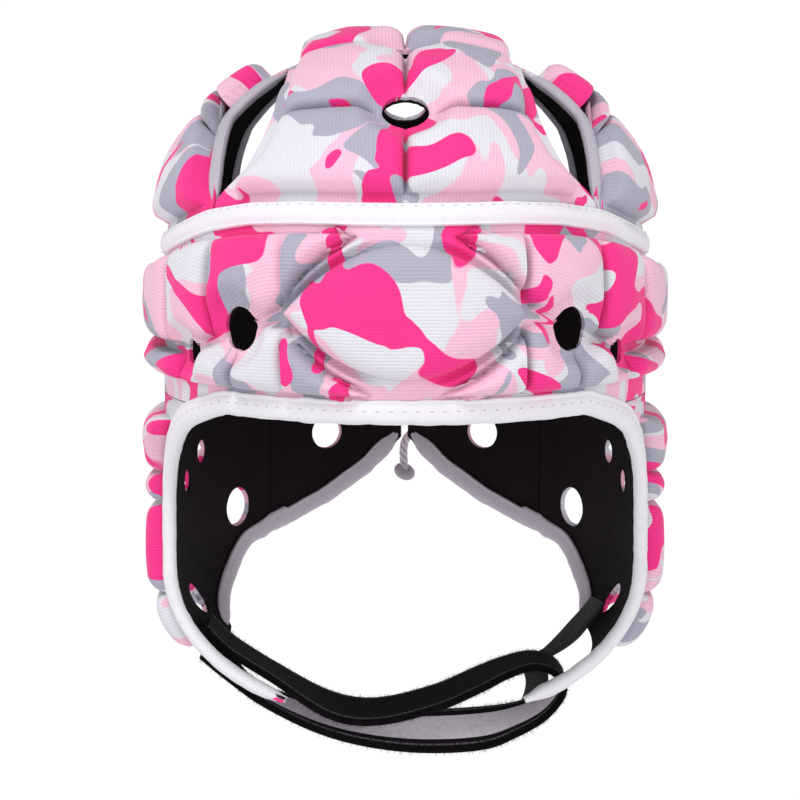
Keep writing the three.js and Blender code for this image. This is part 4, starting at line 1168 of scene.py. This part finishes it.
def makeLacePiece():
    q = laceLook
    out = 0.0034 + q["diameter"] / 2 + 0.0006
    stops = []
    for k in range(q["crossings"] + 1):
        side = q["turn"] if k % 2 == 0 else -q["turn"]
        stops.append(aroundHead(side, float(rearLevel(q["turn"], 1 - q["foot"] - k * q["rise"])), out))
    gap = aroundHead(180.0, float(rearLevel(q["turn"], 1.0)), out + 0.0025)
    knot = gap + np.array([0, 0, -q["tail"]])
    route = np.array([knot, gap] + stops)
    at = np.linspace(0, len(route) - 1, q["steps"])
    points = np.stack([through(route[:, k], at) for k in range(3)], axis=1)
    tangent = unit(np.gradient(points, axis=0))
    side = unit(np.cross(tangent, [0, 1, 0]))
    other = np.cross(tangent, side)
    turn = np.linspace(0, 2 * math.pi, 13)[:-1]
    radius = q["diameter"] / 2 * (1 + 0.04 * np.sin(np.arange(q["steps"]) * 1.9))
    spoke = np.cos(turn)[None, :, None] * side[:, None, :] + np.sin(turn)[None, :, None] * other[:, None, :]
    rows = points[:, None, :] + radius[:, None, None] * spoke
    sweptPiece("rearLaceBraid", rows, points, turn * q["diameter"] / 2, False, laceMaterial,
               "rear_lace")
    deselectAll()
    bpy.ops.mesh.primitive_torus_add(
        major_radius=q["knot"] * 0.26, minor_radius=q["knot"] * 0.24, major_segments=24, minor_segments=14,
        location=tuple(knot), rotation=(0.5, 0.35, 0.2))
    loop = bpy.context.active_object
    bpy.ops.object.transform_apply(location=True, rotation=True, scale=True)
    loop.name = "laceKnotBraid"
    loop.data.materials.append(laceMaterial)
    bpy.ops.object.shade_smooth()
    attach(loop, "root")


makeLacePiece()
print("lace done")


# Floor, light and the camera at the photograph's angle
studio = {
    "distance": 0.95, "elevation": 7.0, "target": (-0.0017, 0.0, -0.117), "lens": 125.7,
    "floor": -0.9, "floorSize": 2.2, "horizon": 1.02, "overhead": 0.38,
}
target = Vector(studio["target"])


def towardsCap(place):
    return (target - Vector(place)).to_track_quat("-Z", "Y").to_euler()


angle = math.radians(studio["elevation"])
place = target + Vector((0, -math.cos(angle), math.sin(angle))) * studio["distance"]
bpy.ops.object.camera_add(location=place, rotation=towardsCap(place))
camera = bpy.context.active_object
camera.name = "studioCamera"
camera.data.sensor_width = 36
camera.data.lens = studio["lens"]
bpy.context.scene.camera = camera

deselectAll()
bpy.ops.mesh.primitive_plane_add(size=studio["floorSize"], location=(0, 0, studio["floor"]))
floor = bpy.context.active_object
floor.name = "studioFloor"
floorMaterial, tree, place = newMaterial("paintedStudioFloor", "Generated")
mottle = speckle(tree, place, 3.0)
finishMaterial(tree, mixColour(tree, mottle, linear("#FBFBFB"), linear("#FFFFFF")), 0.9)
floor.data.materials.append(floorMaterial)
floor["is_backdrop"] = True

# White surround at the horizon, dimmer overhead so that the lamps shape the pads
world = bpy.data.worlds.new("studioWorld")
bpy.context.scene.world = world
world.use_nodes = True
tree = world.node_tree
way = addNode(tree, "ShaderNodeTexCoord").outputs["Generated"]
height = addNode(tree, "ShaderNodeSeparateXYZ", {"Vector": way}).outputs[2]
strength = ranged(tree, height, 0.05, 0.4, studio["horizon"], studio["overhead"])
tree.links.new(strength, tree.nodes["Background"].inputs["Strength"])
tree.nodes["Background"].inputs["Color"].default_value = (1, 1, 1, 1)
bpy.context.scene.view_settings.view_transform = "Standard"


def areaLight(name, place, size, power):
    bpy.ops.object.light_add(type="AREA", location=place, rotation=towardsCap(place))
    light = bpy.context.active_object
    light.name = name
    light.data.shape = "DISK"
    light.data.size = size
    light.data.energy = power


areaLight("topSoftbox", (-0.25, -0.6, 0.9), 0.45, 6)
areaLight("sideSoftbox", (1.1, -0.8, 0.25), 0.7, 2)
areaLight("fillSoftbox", (-1.1, -0.5, 0.0), 0.9, 1.2)
areaLight("frontSoftbox", (0.1, -1.2, -0.05), 0.5, 1.3)

plain = lambda box: [[float(v) for v in corner] for corner in box]
{"cad": plain(cadBox), "visual": plain(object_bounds())}
print("scene ready")
